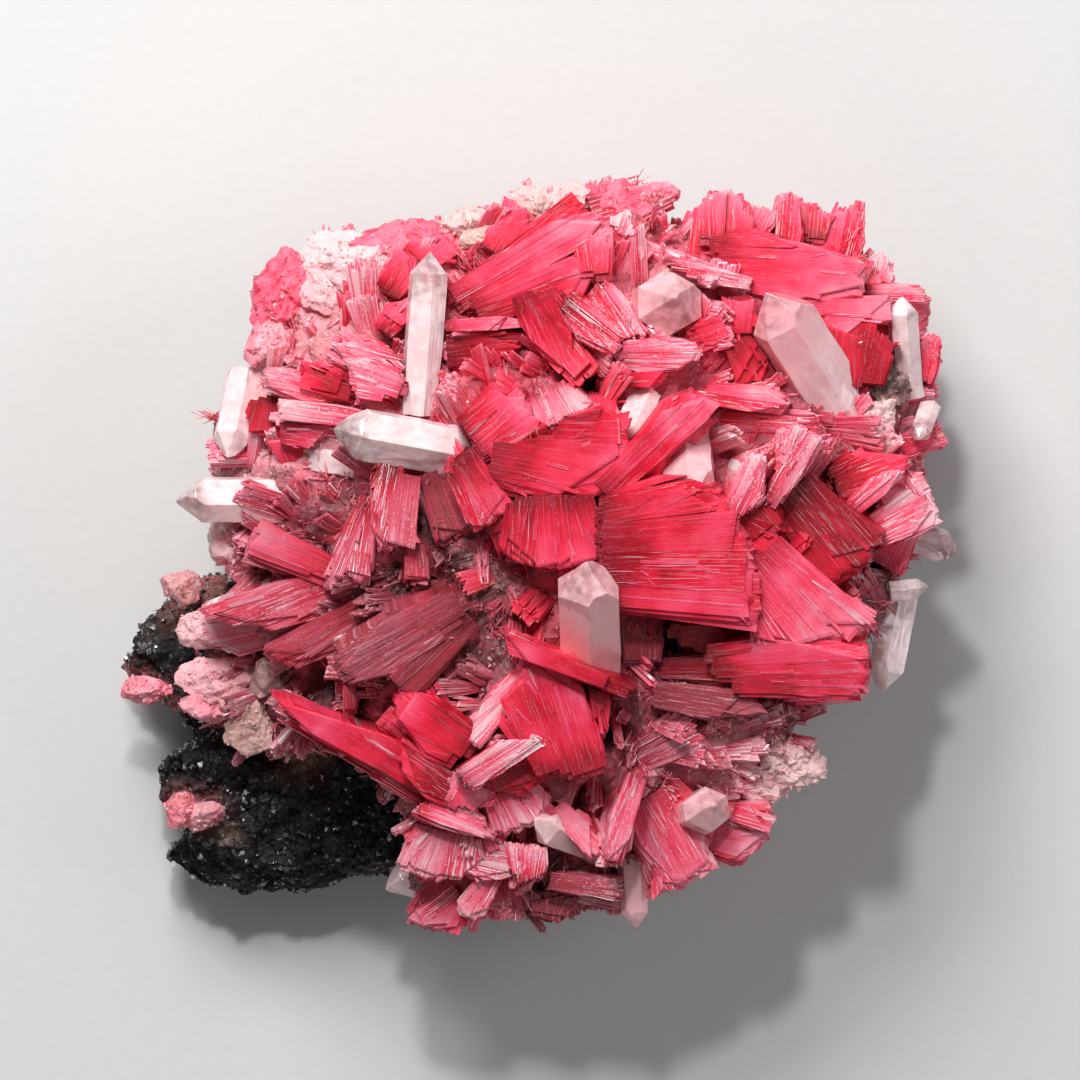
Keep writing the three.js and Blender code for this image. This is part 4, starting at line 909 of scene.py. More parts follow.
# Each group: where it starts and ends [x, y, x, y], its end's height over the dome, its width at
# the start and the end, its thickness and turn in degrees, the width of one lath, then how red,
# mauve and white it is, and how unruly. Lengths are in millimetres.
BLADES = {
    "top_red_fan": [-9.5, 24.2, 6.0, 31.9, 4.0, 3.0, 9.5, 4.0, 10, 0.9, 0.72, 0.0, 0.1, 0.15],
    "top_centre_fan": [6.3, 26.0, 6.4, 33.2, 3.0, 1.2, 6.5, 2.0, -10, 0.7, 0.6, 0.0, 0.2, 0.2],
    "top_pale_fan": [6.5, 26.0, 9.6, 31.6, 2.0, 1.2, 4.5, 2.0, 15, 0.6, 0.35, 0.0, 0.5, 0.15],
    "top_slanting_stack": [5.6, 26.9, 10.5, 20.9, 3.5, 2.4, 2.8, 2.6, 55, 0.5, 0.5, 0.1, 0.45, 0.05],
    "top_grey_stack": [2.4, 25.2, 8.0, 18.4, 3.0, 3.6, 3.8, 3.0, 50, 0.5, 0.45, 0.2, 0.5, 0.05],
    "upper_red_blade": [-2.5, 26.4, 4.8, 17.2, 4.0, 5.0, 3.0, 3.0, 5, 1.4, 0.75, 0.0, 0.05, 0.05],
    "cross_lath": [-1.5, 22.7, -9.2, 22.1, 3.5, 1.4, 1.2, 1.2, 20, 0.6, 0.45, 0.1, 0.4, 0.05],
    "shaded_laths": [-4.0, 17.9, -9.0, 21.9, 0.8, 3.0, 3.0, 2.0, 30, 0.7, 0.6, 0.4, 0.1, 0.1],
    "top_edge_tablet": [-4.0, 29.4, -1.6, 35.2, 1.5, 3.0, 4.2, 2.6, 10, 1.2, 0.4, 0.0, 0.4, 0.05],
    "hook_slab": [5.0, 33.4, 13.6, 36.3, 0.5, 5.0, 2.6, 4.6, 0, 2.0, 0.25, 0.0, 0.5, 0.05],
    "tall_tablet": [18.8, 26.4, 18.7, 36.4, 2.5, 4.0, 3.6, 3.0, 15, 1.3, 0.62, 0.0, 0.15, 0.05],
    "tall_tablet_left": [16.0, 28.4, 16.4, 35.0, 1.5, 3.0, 2.0, 2.6, 10, 0.9, 0.55, 0.0, 0.2, 0.05],
    "crest_stack": [25.0, 26.4, 24.7, 36.1, 4.0, 3.0, 1.8, 3.0, 60, 0.7, 0.45, 0.0, 0.4, 0.05],
    "crest_tablet": [26.0, 26.4, 27.6, 34.9, 2.5, 5.0, 5.0, 2.8, 5, 1.1, 0.5, 0.0, 0.25, 0.08],
    "crest_point": [27.5, 25.4, 31.5, 34.6, 3.0, 5.0, 3.2, 3.0, 10, 1.2, 0.6, 0.0, 0.15, 0.08],
    "crest_step": [30.0, 25.4, 32.4, 30.0, 3.0, 3.0, 2.6, 2.6, 20, 0.8, 0.6, 0.0, 0.2, 0.05],
    "pale_crest_tablet": [31.0, 25.4, 34.5, 30.0, 2.0, 4.0, 3.2, 2.8, 0, 1.4, 0.3, 0.0, 0.5, 0.05],
    "right_striated_block": [31.5, 22.4, 38.8, 24.6, 3.0, 5.0, 5.0, 3.4, 35, 0.7, 0.5, 0.0, 0.3, 0.05],
    "right_edge_fan": [36.0, 18.4, 40.2, 20.9, 2.5, 2.0, 3.6, 2.2, 20, 0.8, 0.4, 0.0, 0.4, 0.1],
    "right_edge_laths": [36.0, 15.9, 40.1, 16.4, 1.5, 1.8, 1.4, 1.8, 40, 0.5, 0.4, 0.0, 0.4, 0.1],
    "right_lower_fan": [35.5, 10.4, 40.5, 12.3, 2.5, 2.2, 3.4, 2.2, 10, 0.8, 0.45, 0.1, 0.3, 0.1],
    "right_red_wall": [31.0, 14.4, 31.2, 24.4, 2.0, 6.0, 7.5, 3.0, 5, 1.6, 0.8, 0.0, 0.05, 0.03],
    "upper_right_field": [24.0, 21.4, 26.0, 31.0, 3.5, 8.0, 10.0, 3.2, -5, 1.4, 0.55, 0.0, 0.2, 0.05],
    "white_laths": [10.0, 30.4, 17.8, 27.4, 4.0, 2.6, 2.4, 2.0, 45, 0.5, 0.25, 0.0, 0.7, 0.05],
    "pale_laths": [16.0, 27.9, 21.0, 25.7, 4.0, 2.2, 2.0, 1.8, 35, 0.5, 0.3, 0.0, 0.6, 0.08],
    "short_stack": [15.5, 24.4, 18.5, 23.9, 4.5, 2.2, 2.0, 1.8, 55, 0.5, 0.4, 0.0, 0.4, 0.05],
    "pink_ledge": [15.0, 16.4, 9.6, 21.0, 3.0, 5.0, 5.0, 3.0, -10, 1.2, 0.35, 0.1, 0.4, 0.05],
    "ledge_stack": [14.6, 17.2, 18.8, 22.2, 2.5, 3.0, 4.8, 2.6, 25, 0.8, 0.45, 0.1, 0.3, 0.1],
    "upper_red_slab": [20.5, 15.4, 20.0, 23.9, 2.5, 3.5, 3.8, 2.8, 15, 1.2, 0.6, 0.0, 0.1, 0.05],
    "centre_left_plate": [0.5, 8.0, -5.0, 14.9, 4.0, 6.0, 7.4, 3.4, -15, 1.8, 0.8, 0.0, 0.05, 0.04],
    "centre_pale_plates": [2.0, 10.0, 2.2, 16.4, 4.0, 3.2, 5.4, 2.6, -20, 1.1, 0.5, 0.0, 0.3, 0.08],
    "heart_fan": [3.5, 3.2, 2.2, 13.0, 6.5, 6.0, 11.5, 4.0, 0, 1.7, 0.88, 0.0, 0.0, 0.03],
    "sweeping_blade": [5.5, 5.0, 15.6, 14.6, 6.5, 3.6, 4.6, 3.0, 20, 1.6, 0.7, 0.0, 0.1, 0.03],
    "sweeping_laths": [16.0, 13.2, 28.0, 12.6, 4.0, 3.6, 3.2, 2.8, 35, 0.6, 0.4, 0.1, 0.4, 0.1],
    "lower_centre_plate": [3.5, 7.4, 0.4, -1.4, 4.5, 6.0, 8.0, 3.2, 0, 1.6, 0.78, 0.0, 0.05, 0.04],
    "great_striated_plate": [20.0, -0.4, 6.6, 0.0, 6.0, 9.0, 11.0, 4.0, 0, 2.0, 0.66, 0.05, 0.1, 0.02],
    "bright_pink_plate": [19.0, 2.8, 25.0, -7.6, 6.0, 4.0, 6.6, 3.2, 5, 1.8, 0.55, 0.0, 0.15, 0.03],
    "pale_flank": [22.0, 0.6, 27.2, -3.8, 5.0, 3.0, 3.6, 2.4, -15, 1.0, 0.4, 0.05, 0.3, 0.05],
    "long_wedge": [12.0, -11.4, 32.4, -11.2, 6.0, 2.2, 4.9, 3.6, 5, 0.8, 0.62, 0.0, 0.1, 0.18],
    "wedge_ridge_laths": [23.0, -6.2, 32.6, -9.0, 5.0, 2.2, 2.6, 2.2, 30, 0.5, 0.75, 0.0, 0.05, 0.2],
    "pale_ridge_laths": [26.0, -2.6, 32.8, -7.4, 3.2, 3.2, 4.0, 2.4, 20, 0.8, 0.4, 0.1, 0.35, 0.15],
    "dark_red_plates": [23.0, 7.4, 30.2, 0.4, 3.0, 5.0, 6.0, 3.0, 0, 1.6, 0.85, 0.15, 0.0, 0.04],
    "dark_red_step": [21.5, 4.4, 26.2, -0.4, 4.5, 4.0, 4.0, 2.6, 15, 1.2, 0.85, 0.0, 0.0, 0.05],
    "glinting_stack_left": [18.0, 3.6, 22.2, 10.4, 6.5, 3.2, 3.0, 3.0, 60, 0.4, 0.4, 0.0, 0.5, 0.03],
    "glinting_stack_right": [22.6, 4.4, 27.8, 11.8, 6.0, 3.6, 4.0, 3.4, 60, 0.4, 0.4, 0.1, 0.5, 0.03],
    "glinting_stack_middle": [21.0, 5.4, 24.6, 11.6, 5.0, 3.0, 3.0, 2.6, 50, 0.5, 0.5, 0.0, 0.4, 0.03],
    "short_glinting_laths": [15.6, 10.7, 20.0, 12.2, 6.0, 2.2, 2.0, 1.8, 40, 0.4, 0.3, 0.1, 0.5, 0.1],
    "right_pale_fan": [31.0, 8.6, 34.6, 13.2, 2.5, 3.0, 5.4, 2.4, 10, 0.8, 0.2, 0.0, 0.7, 0.12],
    "right_red_laths": [30.4, 4.4, 35.6, 7.4, 4.0, 2.2, 2.2, 2.2, 50, 0.5, 0.5, 0.0, 0.3, 0.1],
    "right_red_field": [28.0, 5.0, 33.6, 9.2, 2.8, 4.4, 4.4, 2.6, 10, 1.0, 0.65, 0.1, 0.15, 0.08],
    "right_clear_plate": [34.6, -1.0, 38.4, 6.4, 3.0, 4.2, 2.4, 3.0, 0, 1.2, 0.3, 0.0, 0.45, 0.08],
    "right_druse_blade": [33.0, -4.8, 30.8, -1.0, 2.0, 3.2, 3.6, 2.2, 10, 0.8, 0.4, 0.5, 0.2, 0.15],
    "left_long_stack": [-12.0, 12.0, -26.6, 15.4, 3.5, 4.4, 5.8, 4.0, 40, 0.7, 0.4, 0.2, 0.45, 0.12],
    "upper_left_stack": [-12.0, 14.9, -21.2, 20.6, 4.0, 4.2, 5.2, 3.6, 35, 0.7, 0.45, 0.15, 0.4, 0.12],
    "left_red_plate": [-22.0, 7.4, -24.6, 13.2, 1.5, 5.0, 6.6, 2.8, 0, 1.2, 0.7, 0.2, 0.05, 0.08],
    "left_red_recess": [-27.0, 10.6, -27.8, 15.8, 0.8, 3.2, 3.4, 2.6, 0, 1.0, 0.65, 0.1, 0.1, 0.1],
    "spiky_tuft": [-18.7, 21.4, -18.0, 27.4, 3.5, 1.6, 4.6, 2.2, 0, 0.7, 0.65, 0.0, 0.2, 0.3],
    "upper_left_blades": [-15.5, 21.4, -12.4, 30.2, 2.5, 3.4, 5.0, 3.0, 20, 0.8, 0.5, 0.05, 0.35, 0.2],
    "upper_left_back_blades": [-14.0, 24.0, -9.6, 31.4, 1.5, 3.0, 4.4, 2.6, 25, 0.7, 0.35, 0.0, 0.5, 0.15],
    "left_edge_laths": [-28.0, 10.4, -33.6, 10.2, 2.0, 3.0, 2.8, 2.2, 30, 0.7, 0.35, 0.1, 0.5, 0.1],
    "glinting_foot": [-6.8, 12.4, -9.6, 17.2, 4.0, 2.8, 2.8, 2.2, 50, 0.4, 0.35, 0.1, 0.6, 0.1],
    "brick_stack": [-15.5, 8.4, -14.2, 0.7, 4.0, 3.0, 4.3, 3.2, 30, 0.8, 0.45, 0.2, 0.4, 0.06],
    "splayed_laths": [-16.8, 6.4, -19.4, -3.5, 3.5, 1.2, 4.6, 2.0, 0, 0.6, 0.4, 0.35, 0.35, 0.2],
    "glinting_bundle": [-10.5, 14.0, -4.7, 3.8, 5.0, 3.2, 4.4, 3.6, 40, 0.7, 0.55, 0.1, 0.3, 0.08],
    "shaded_bundle": [-12.0, 11.0, -8.4, 1.4, 2.5, 3.2, 4.6, 3.2, 25, 0.7, 0.5, 0.5, 0.15, 0.12],
    "hanging_lath": [-12.2, 2.0, -12.0, -3.2, 1.8, 2.0, 1.8, 1.6, 10, 0.8, 0.35, 0.6, 0.2, 0.1],
    "thin_blade": [-6.3, 5.0, -5.4, -3.5, 2.2, 3.0, 0.8, 1.4, 0, 1.0, 0.5, 0.4, 0.2, 0.05],
    "blunt_left_lath": [-22.0, -2.4, -28.8, 1.1, 2.5, 3.0, 2.8, 3.0, 0, 1.2, 0.45, 0.45, 0.2, 0.06],
    "left_lower_fan": [-16.5, -3.6, -28.5, -8.4, 3.0, 4.4, 8.6, 4.0, 0, 1.0, 0.4, 0.5, 0.3, 0.12],
    "great_lath_bundle": [-8.0, -4.4, -19.4, -11.2, 5.0, 4.0, 4.2, 4.0, 35, 0.7, 0.42, 0.4, 0.35, 0.05],
    "second_lath_bundle": [-7.4, -6.8, -13.4, -12.4, 3.0, 3.4, 3.2, 3.0, 35, 0.7, 0.4, 0.4, 0.3, 0.08],
    "third_lath_bundle": [-4.0, -7.0, -11.0, -13.4, 1.4, 3.0, 3.0, 2.6, 25, 0.7, 0.35, 0.6, 0.2, 0.1],
    "thin_lath_tuft": [-2.8, -12.8, -8.6, -10.2, 1.6, 3.0, 3.2, 2.2, 45, 0.4, 0.35, 0.5, 0.4, 0.3],
    "long_red_lath": [-8.5, -24.2, -26.4, -14.6, 5.0, 4.6, 1.4, 3.2, 20, 0.8, 0.72, 0.0, 0.1, 0.05],
    "lower_fringe": [-9.5, -24.8, -16.6, -21.2, 2.0, 3.4, 2.4, 2.6, 20, 0.7, 0.65, 0.1, 0.1, 0.1],
    "spiky_red_fan": [-7.0, -22.1, -13.4, -14.2, 4.0, 4.2, 7.4, 3.2, 0, 0.8, 0.7, 0.0, 0.1, 0.28],
    "spear": [9.5, -13.6, -3.6, -7.9, 7.0, 1.6, 1.2, 2.2, 20, 0.6, 0.8, 0.0, 0.05, 0.1],
    "lower_red_plate": [0.6, -12.6, 2.0, -22.0, 5.0, 8.4, 9.4, 4.0, 0, 1.3, 0.74, 0.0, 0.05, 0.06],
    "pale_plate_edge": [0.5, -13.4, -6.0, -18.2, 3.2, 3.4, 4.2, 2.8, 0, 1.4, 0.3, 0.1, 0.5, 0.05],
    "silver_laths": [-7.2, -22.3, -3.3, -18.6, 6.0, 3.0, 2.8, 2.2, 50, 0.4, 0.25, 0.2, 0.7, 0.1],
    "silver_tuft": [-4.6, -20.4, 0.1, -18.2, 6.5, 1.8, 1.6, 1.6, 45, 0.4, 0.25, 0.2, 0.7, 0.1],
    "lined_laths": [-3.8, -21.8, -6.8, -25.0, 5.0, 3.0, 3.0, 2.2, 50, 0.4, 0.35, 0.2, 0.5, 0.1],
    "lower_stack": [-7.6, -23.4, -10.6, -26.6, 4.0, 4.0, 4.2, 2.6, 40, 0.5, 0.45, 0.2, 0.4, 0.1],
    "pink_shelf": [-3.6, -24.2, -7.0, -27.8, 3.0, 6.0, 6.0, 3.0, 0, 1.8, 0.5, 0.1, 0.2, 0.06],
    "bottom_left_plate": [-6.0, -28.4, -13.0, -30.4, 3.0, 4.4, 5.4, 3.0, 15, 1.3, 0.55, 0.2, 0.2, 0.06],
    "bottom_left_point": [-7.0, -31.4, -12.9, -36.8, 3.0, 3.2, 2.8, 2.6, 35, 0.8, 0.5, 0.2, 0.25, 0.1],
    "bottom_plate": [-6.0, -30.4, -8.8, -37.2, 3.0, 4.4, 5.2, 2.8, 10, 1.2, 0.5, 0.2, 0.25, 0.1],
    "bottom_plate_right": [-3.6, -31.4, -3.6, -36.8, 3.0, 4.4, 4.4, 2.6, 10, 1.0, 0.4, 0.3, 0.3, 0.1],
    "bottom_stack": [-2.0, -28.0, -1.2, -33.2, 5.0, 3.2, 3.6, 2.6, 45, 0.5, 0.35, 0.3, 0.5, 0.1],
    "bottom_grey_laths": [0.0, -32.4, 8.0, -34.4, 3.5, 2.6, 2.4, 2.2, 40, 0.5, 0.3, 0.5, 0.4, 0.1],
    "bottom_grey_plate": [2.0, -30.0, 4.6, -36.2, 1.4, 5.4, 6.4, 2.6, 0, 1.2, 0.35, 0.6, 0.2, 0.1],
    "upright_laths": [8.8, -21.0, 6.8, -31.4, 6.0, 2.4, 3.0, 2.6, 35, 0.7, 0.3, 0.1, 0.5, 0.08],
    "lower_glinting_laths": [4.4, -24.4, 7.2, -30.2, 4.5, 2.2, 2.2, 1.8, 50, 0.4, 0.35, 0.2, 0.5, 0.1],
    "lower_right_fan": [10.0, -24.4, 14.6, -32.6, 3.0, 4.4, 8.4, 3.2, 0, 0.9, 0.5, 0.3, 0.25, 0.12],
    "lower_right_plate": [11.0, -22.4, 17.0, -29.8, 3.0, 4.4, 7.4, 3.2, 5, 1.0, 0.55, 0.2, 0.2, 0.1],
    "lower_right_laths": [16.0, -26.0, 23.3, -26.8, 3.0, 3.2, 4.2, 2.6, 15, 0.8, 0.5, 0.2, 0.25, 0.12],
    "lower_right_foot": [16.0, -27.4, 21.0, -30.0, 2.0, 3.4, 3.4, 2.6, 20, 0.8, 0.5, 0.2, 0.25, 0.12],
}

# Groups that stand out from the crust's side walls: start and end [x, y, z, x, y, z], the two
# widths, the thickness and the turn.
WALL_BLADES = {
    "far_wall_left": [-15.0, 28.0, 15.0, -15.6, 31.6, 19.4, 6.0, 7.6, 3.0, 20],
    "far_wall_middle": [-2.0, 30.0, 14.0, -3.0, 35.0, 17.4, 5.0, 8.4, 3.0, -15],
    "far_wall_right": [9.0, 31.0, 12.6, 9.6, 35.8, 15.4, 5.0, 7.0, 2.8, 35],
    "far_right_corner": [22.0, 28.0, 12.0, 24.6, 32.4, 16.0, 5.0, 8.0, 3.0, 0],
    "right_wall_far": [31.6, 20.0, 13.0, 36.8, 22.4, 17.0, 5.0, 7.4, 3.2, 25],
    "right_wall_middle": [33.0, 9.0, 13.0, 38.6, 10.0, 15.4, 4.4, 8.0, 3.0, -20],
    "right_wall_near": [31.0, -2.0, 12.0, 35.6, -4.4, 14.2, 5.0, 6.4, 3.0, 30],
    "near_right_wall": [24.0, -12.0, 13.0, 28.6, -14.4, 17.0, 5.0, 7.0, 3.0, 0],
    "near_wall_right": [17.0, -25.0, 12.0, 20.6, -29.0, 14.2, 5.0, 7.0, 3.0, 20],
    "near_wall_middle": [5.0, -31.0, 13.0, 4.6, -35.8, 15.6, 5.0, 8.4, 3.0, -20],
    "near_wall_left": [-6.0, -31.0, 12.6, -7.6, -36.4, 17.0, 4.0, 6.4, 2.8, 25],
    "left_wall_far": [-24.6, 20.0, 15.0, -28.4, 21.4, 17.6, 4.0, 6.0, 2.8, 10],
    "left_wall_near": [-28.0, 7.0, 15.0, -32.8, 6.0, 18.0, 4.0, 6.4, 2.8, -15],
}


def blade_finish():
    """Clear red rhodonite. Its depth of red comes from the group, from clouds inside the crystal and
    from fine lines that run from root to tip. It is dark at the root, partly its own denser red and
    partly painted shade, and it pales towards the tip, a painted glow of light through the thin
    crystal. Its edges carry a painted highlight. Its pink threads and frost along the lines are partly
    pale striations and partly painted highlight, and near-white painted glints lie on some of its
    lines. Its mauve is partly its own colour and partly painted shade. One lath in three has a clear
    polish, and one in six is smoother still, and glints."""
    made = Finish("bladed_rhodonite")
    strip = made.node("Attribute", {"attribute_name": "strip"}, None, "Vector")
    place = made.place()
    along, edge, own = made.parts("place")
    edge = edge.math("ABSOLUTE", edge)
    red, mauve, white = made.parts("tone")
    hair = made.noise(made.stretch(strip, 14.0, 0.22, 5.0), 1.0, 2.0)
    fine = made.noise(made.stretch(strip, 4.5, 0.12, 5.0), 1.0, 2.0)
    broad = made.noise(place, 130.0, 1.0)
    cloud = made.noise(place, 300.0)
    grit = made.noise(place, 3800.0, 1.0)
    lines = 0.5 * (fine - 0.5) + 0.45 * (hair - 0.5) + 0.3 * (own - 0.5)
    depth = red + 0.21 + 0.8 * (cloud - 0.5) + 0.5 * (broad - 0.5)
    depth = depth + lines * (0.40 + 1.4 * white) + 0.25 * (grit - 0.5)
    # Paler towards the tip, a painted glow of light through the thin crystal, and at the very edges, a
    # painted highlight.
    depth = depth - 0.4 * (along - 0.4) - 0.15 * edge.ramp(0.95, 1.0)
    colour = made.node("ValToRGB", {"stops": RED_STOPS}, {0: depth})
    # Mauve: partly the druse's own grey-mauve and partly painted shade, in the gaps and on the dark sheets
    # that stand for shade.
    shaded = mauve.ramp(0.0, 0.75) * (0.75 + 0.25 * fine.ramp(0.4, 0.6))
    colour = made.mix(shaded, colour, (0.23, 0.042, 0.052, 1))
    # Darker at the root: partly the crystal's own denser red and partly painted shade, where the roots lie
    # under the other blades.
    colour = made.mix(0.55 - 0.55 * along.ramp(0.0, 0.32), colour, (0.12, 0.008, 0.014, 1))
    # Pink threads along the lines: partly the striations' own paler colour and partly painted highlight.
    threads_and_painted_highlight = (hair + 0.4 * (grit - 0.5)).ramp(0.52, 0.64) * (0.2 + 0.8 * cloud)
    threads_and_painted_highlight = threads_and_painted_highlight * (0.5 - 0.28 * red.ramp(0.45, 0.7))
    colour = made.mix(threads_and_painted_highlight, colour, (0.93, 0.24, 0.33, 1))
    # Painted highlight along the edges of each lath.
    rim = edge.ramp(0.80, 0.97) * (hair + cloud - 0.5).ramp(0.3, 0.6) * (0.22 + 0.3 * white)
    colour = made.mix(rim, colour, (0.96, 0.36, 0.44, 1))
    # Frost along the lines, stronger towards the tip: partly pale frosted crystal and partly painted
    # highlight.
    frost_and_painted_highlight = (0.08 + white) * (hair + 0.5 * (grit - 0.5)).ramp(0.48, 0.66)
    frost_and_painted_highlight = frost_and_painted_highlight * (0.35 + 0.65 * along) * (0.4 + cloud)
    colour = made.mix(frost_and_painted_highlight.ramp(0.0, 0.9), colour, (0.94, 0.62, 0.66, 1))
    # Painted glints: near-white lines on some laths, strongest on the pale ones.
    glint = hair.ramp(0.61, 0.65) * own.ramp(0.3, 0.8) * (0.16 + 1.5 * white)
    colour = made.mix(glint.ramp(0.0, 0.8), colour, (1.0, 0.88, 0.90, 1))
    roughness = 0.46 + 0.2 * (fine - 0.5) - 0.30 * own.ramp(0.82, 0.86)
    polish = 0.02 + 0.5 * own.ramp(0.55, 0.75)
    return made.close(made.principled({
        "Base Color": colour, "Roughness": roughness, "IOR": 1.72, "Specular IOR Level": 0.12,
        "Subsurface Weight": 0.2, "Subsurface Radius": (1.0, 0.12, 0.16), "Subsurface Scale": 0.0014,
        "Coat Weight": polish, "Coat Roughness": 0.14, "Coat IOR": 1.6,
    }))


bladed = blade_finish()


def make_laths(name, laths, section=BLADE_SECTION, stations=BLADE_STATIONS, reach=None):
    """A piece of many laths. Where reach is given, they are strips of one broad face: reach says
    where each begins and ends between the face's own root and tip, and their edges get no painted highlight."""
    points, faces, attributes = lath_mesh(laths, section, stations)
    if reach is not None:
        along = reach[:, None, :1] + (reach[:, None, 1:] - reach[:, None, :1]) * stations[None, :, :1]
        attributes["place"][:, 0] = np.repeat(along, len(section), axis=2).ravel()
        attributes["place"][:, 1] = 0
    make_piece(name, points, faces, bladed, attributes, ["rhodonite"])


blade_laths = []
for number, row in enumerate(BLADES.values()):
    x0, y0, x1, y1, rise, root_width, tip_width, thick, turn, lath, *tone, wild = row
    start = np.array([x0, y0, dome(x0, y0) - BLADE_SUNK])
    tip = np.array([x1, y1, dome(x1, y1) + rise - thick / 2])
    draw = np.random.default_rng(100 + number)
    blade_laths.append(
        fan_laths(start, tip, root_width, tip_width, thick, turn, lath, tone, wild, draw)
    )
for number, row in enumerate(WALL_BLADES.values()):
    draw = np.random.default_rng(300 + number)
    start = np.array(row[:3])
    tip = np.array(row[3:6])
    tone = tone_at(tip[:1], tip[1:2])[0]
    blade_laths.append(fan_laths(start, tip, *row[6:], 1.0, tone, 0.12, draw))
blades = np.concatenate(blade_laths)
make_laths("blade_groups_left", blades[blades[:, 3] < 0])
make_laths("blade_groups_right", blades[blades[:, 3] >= 0])


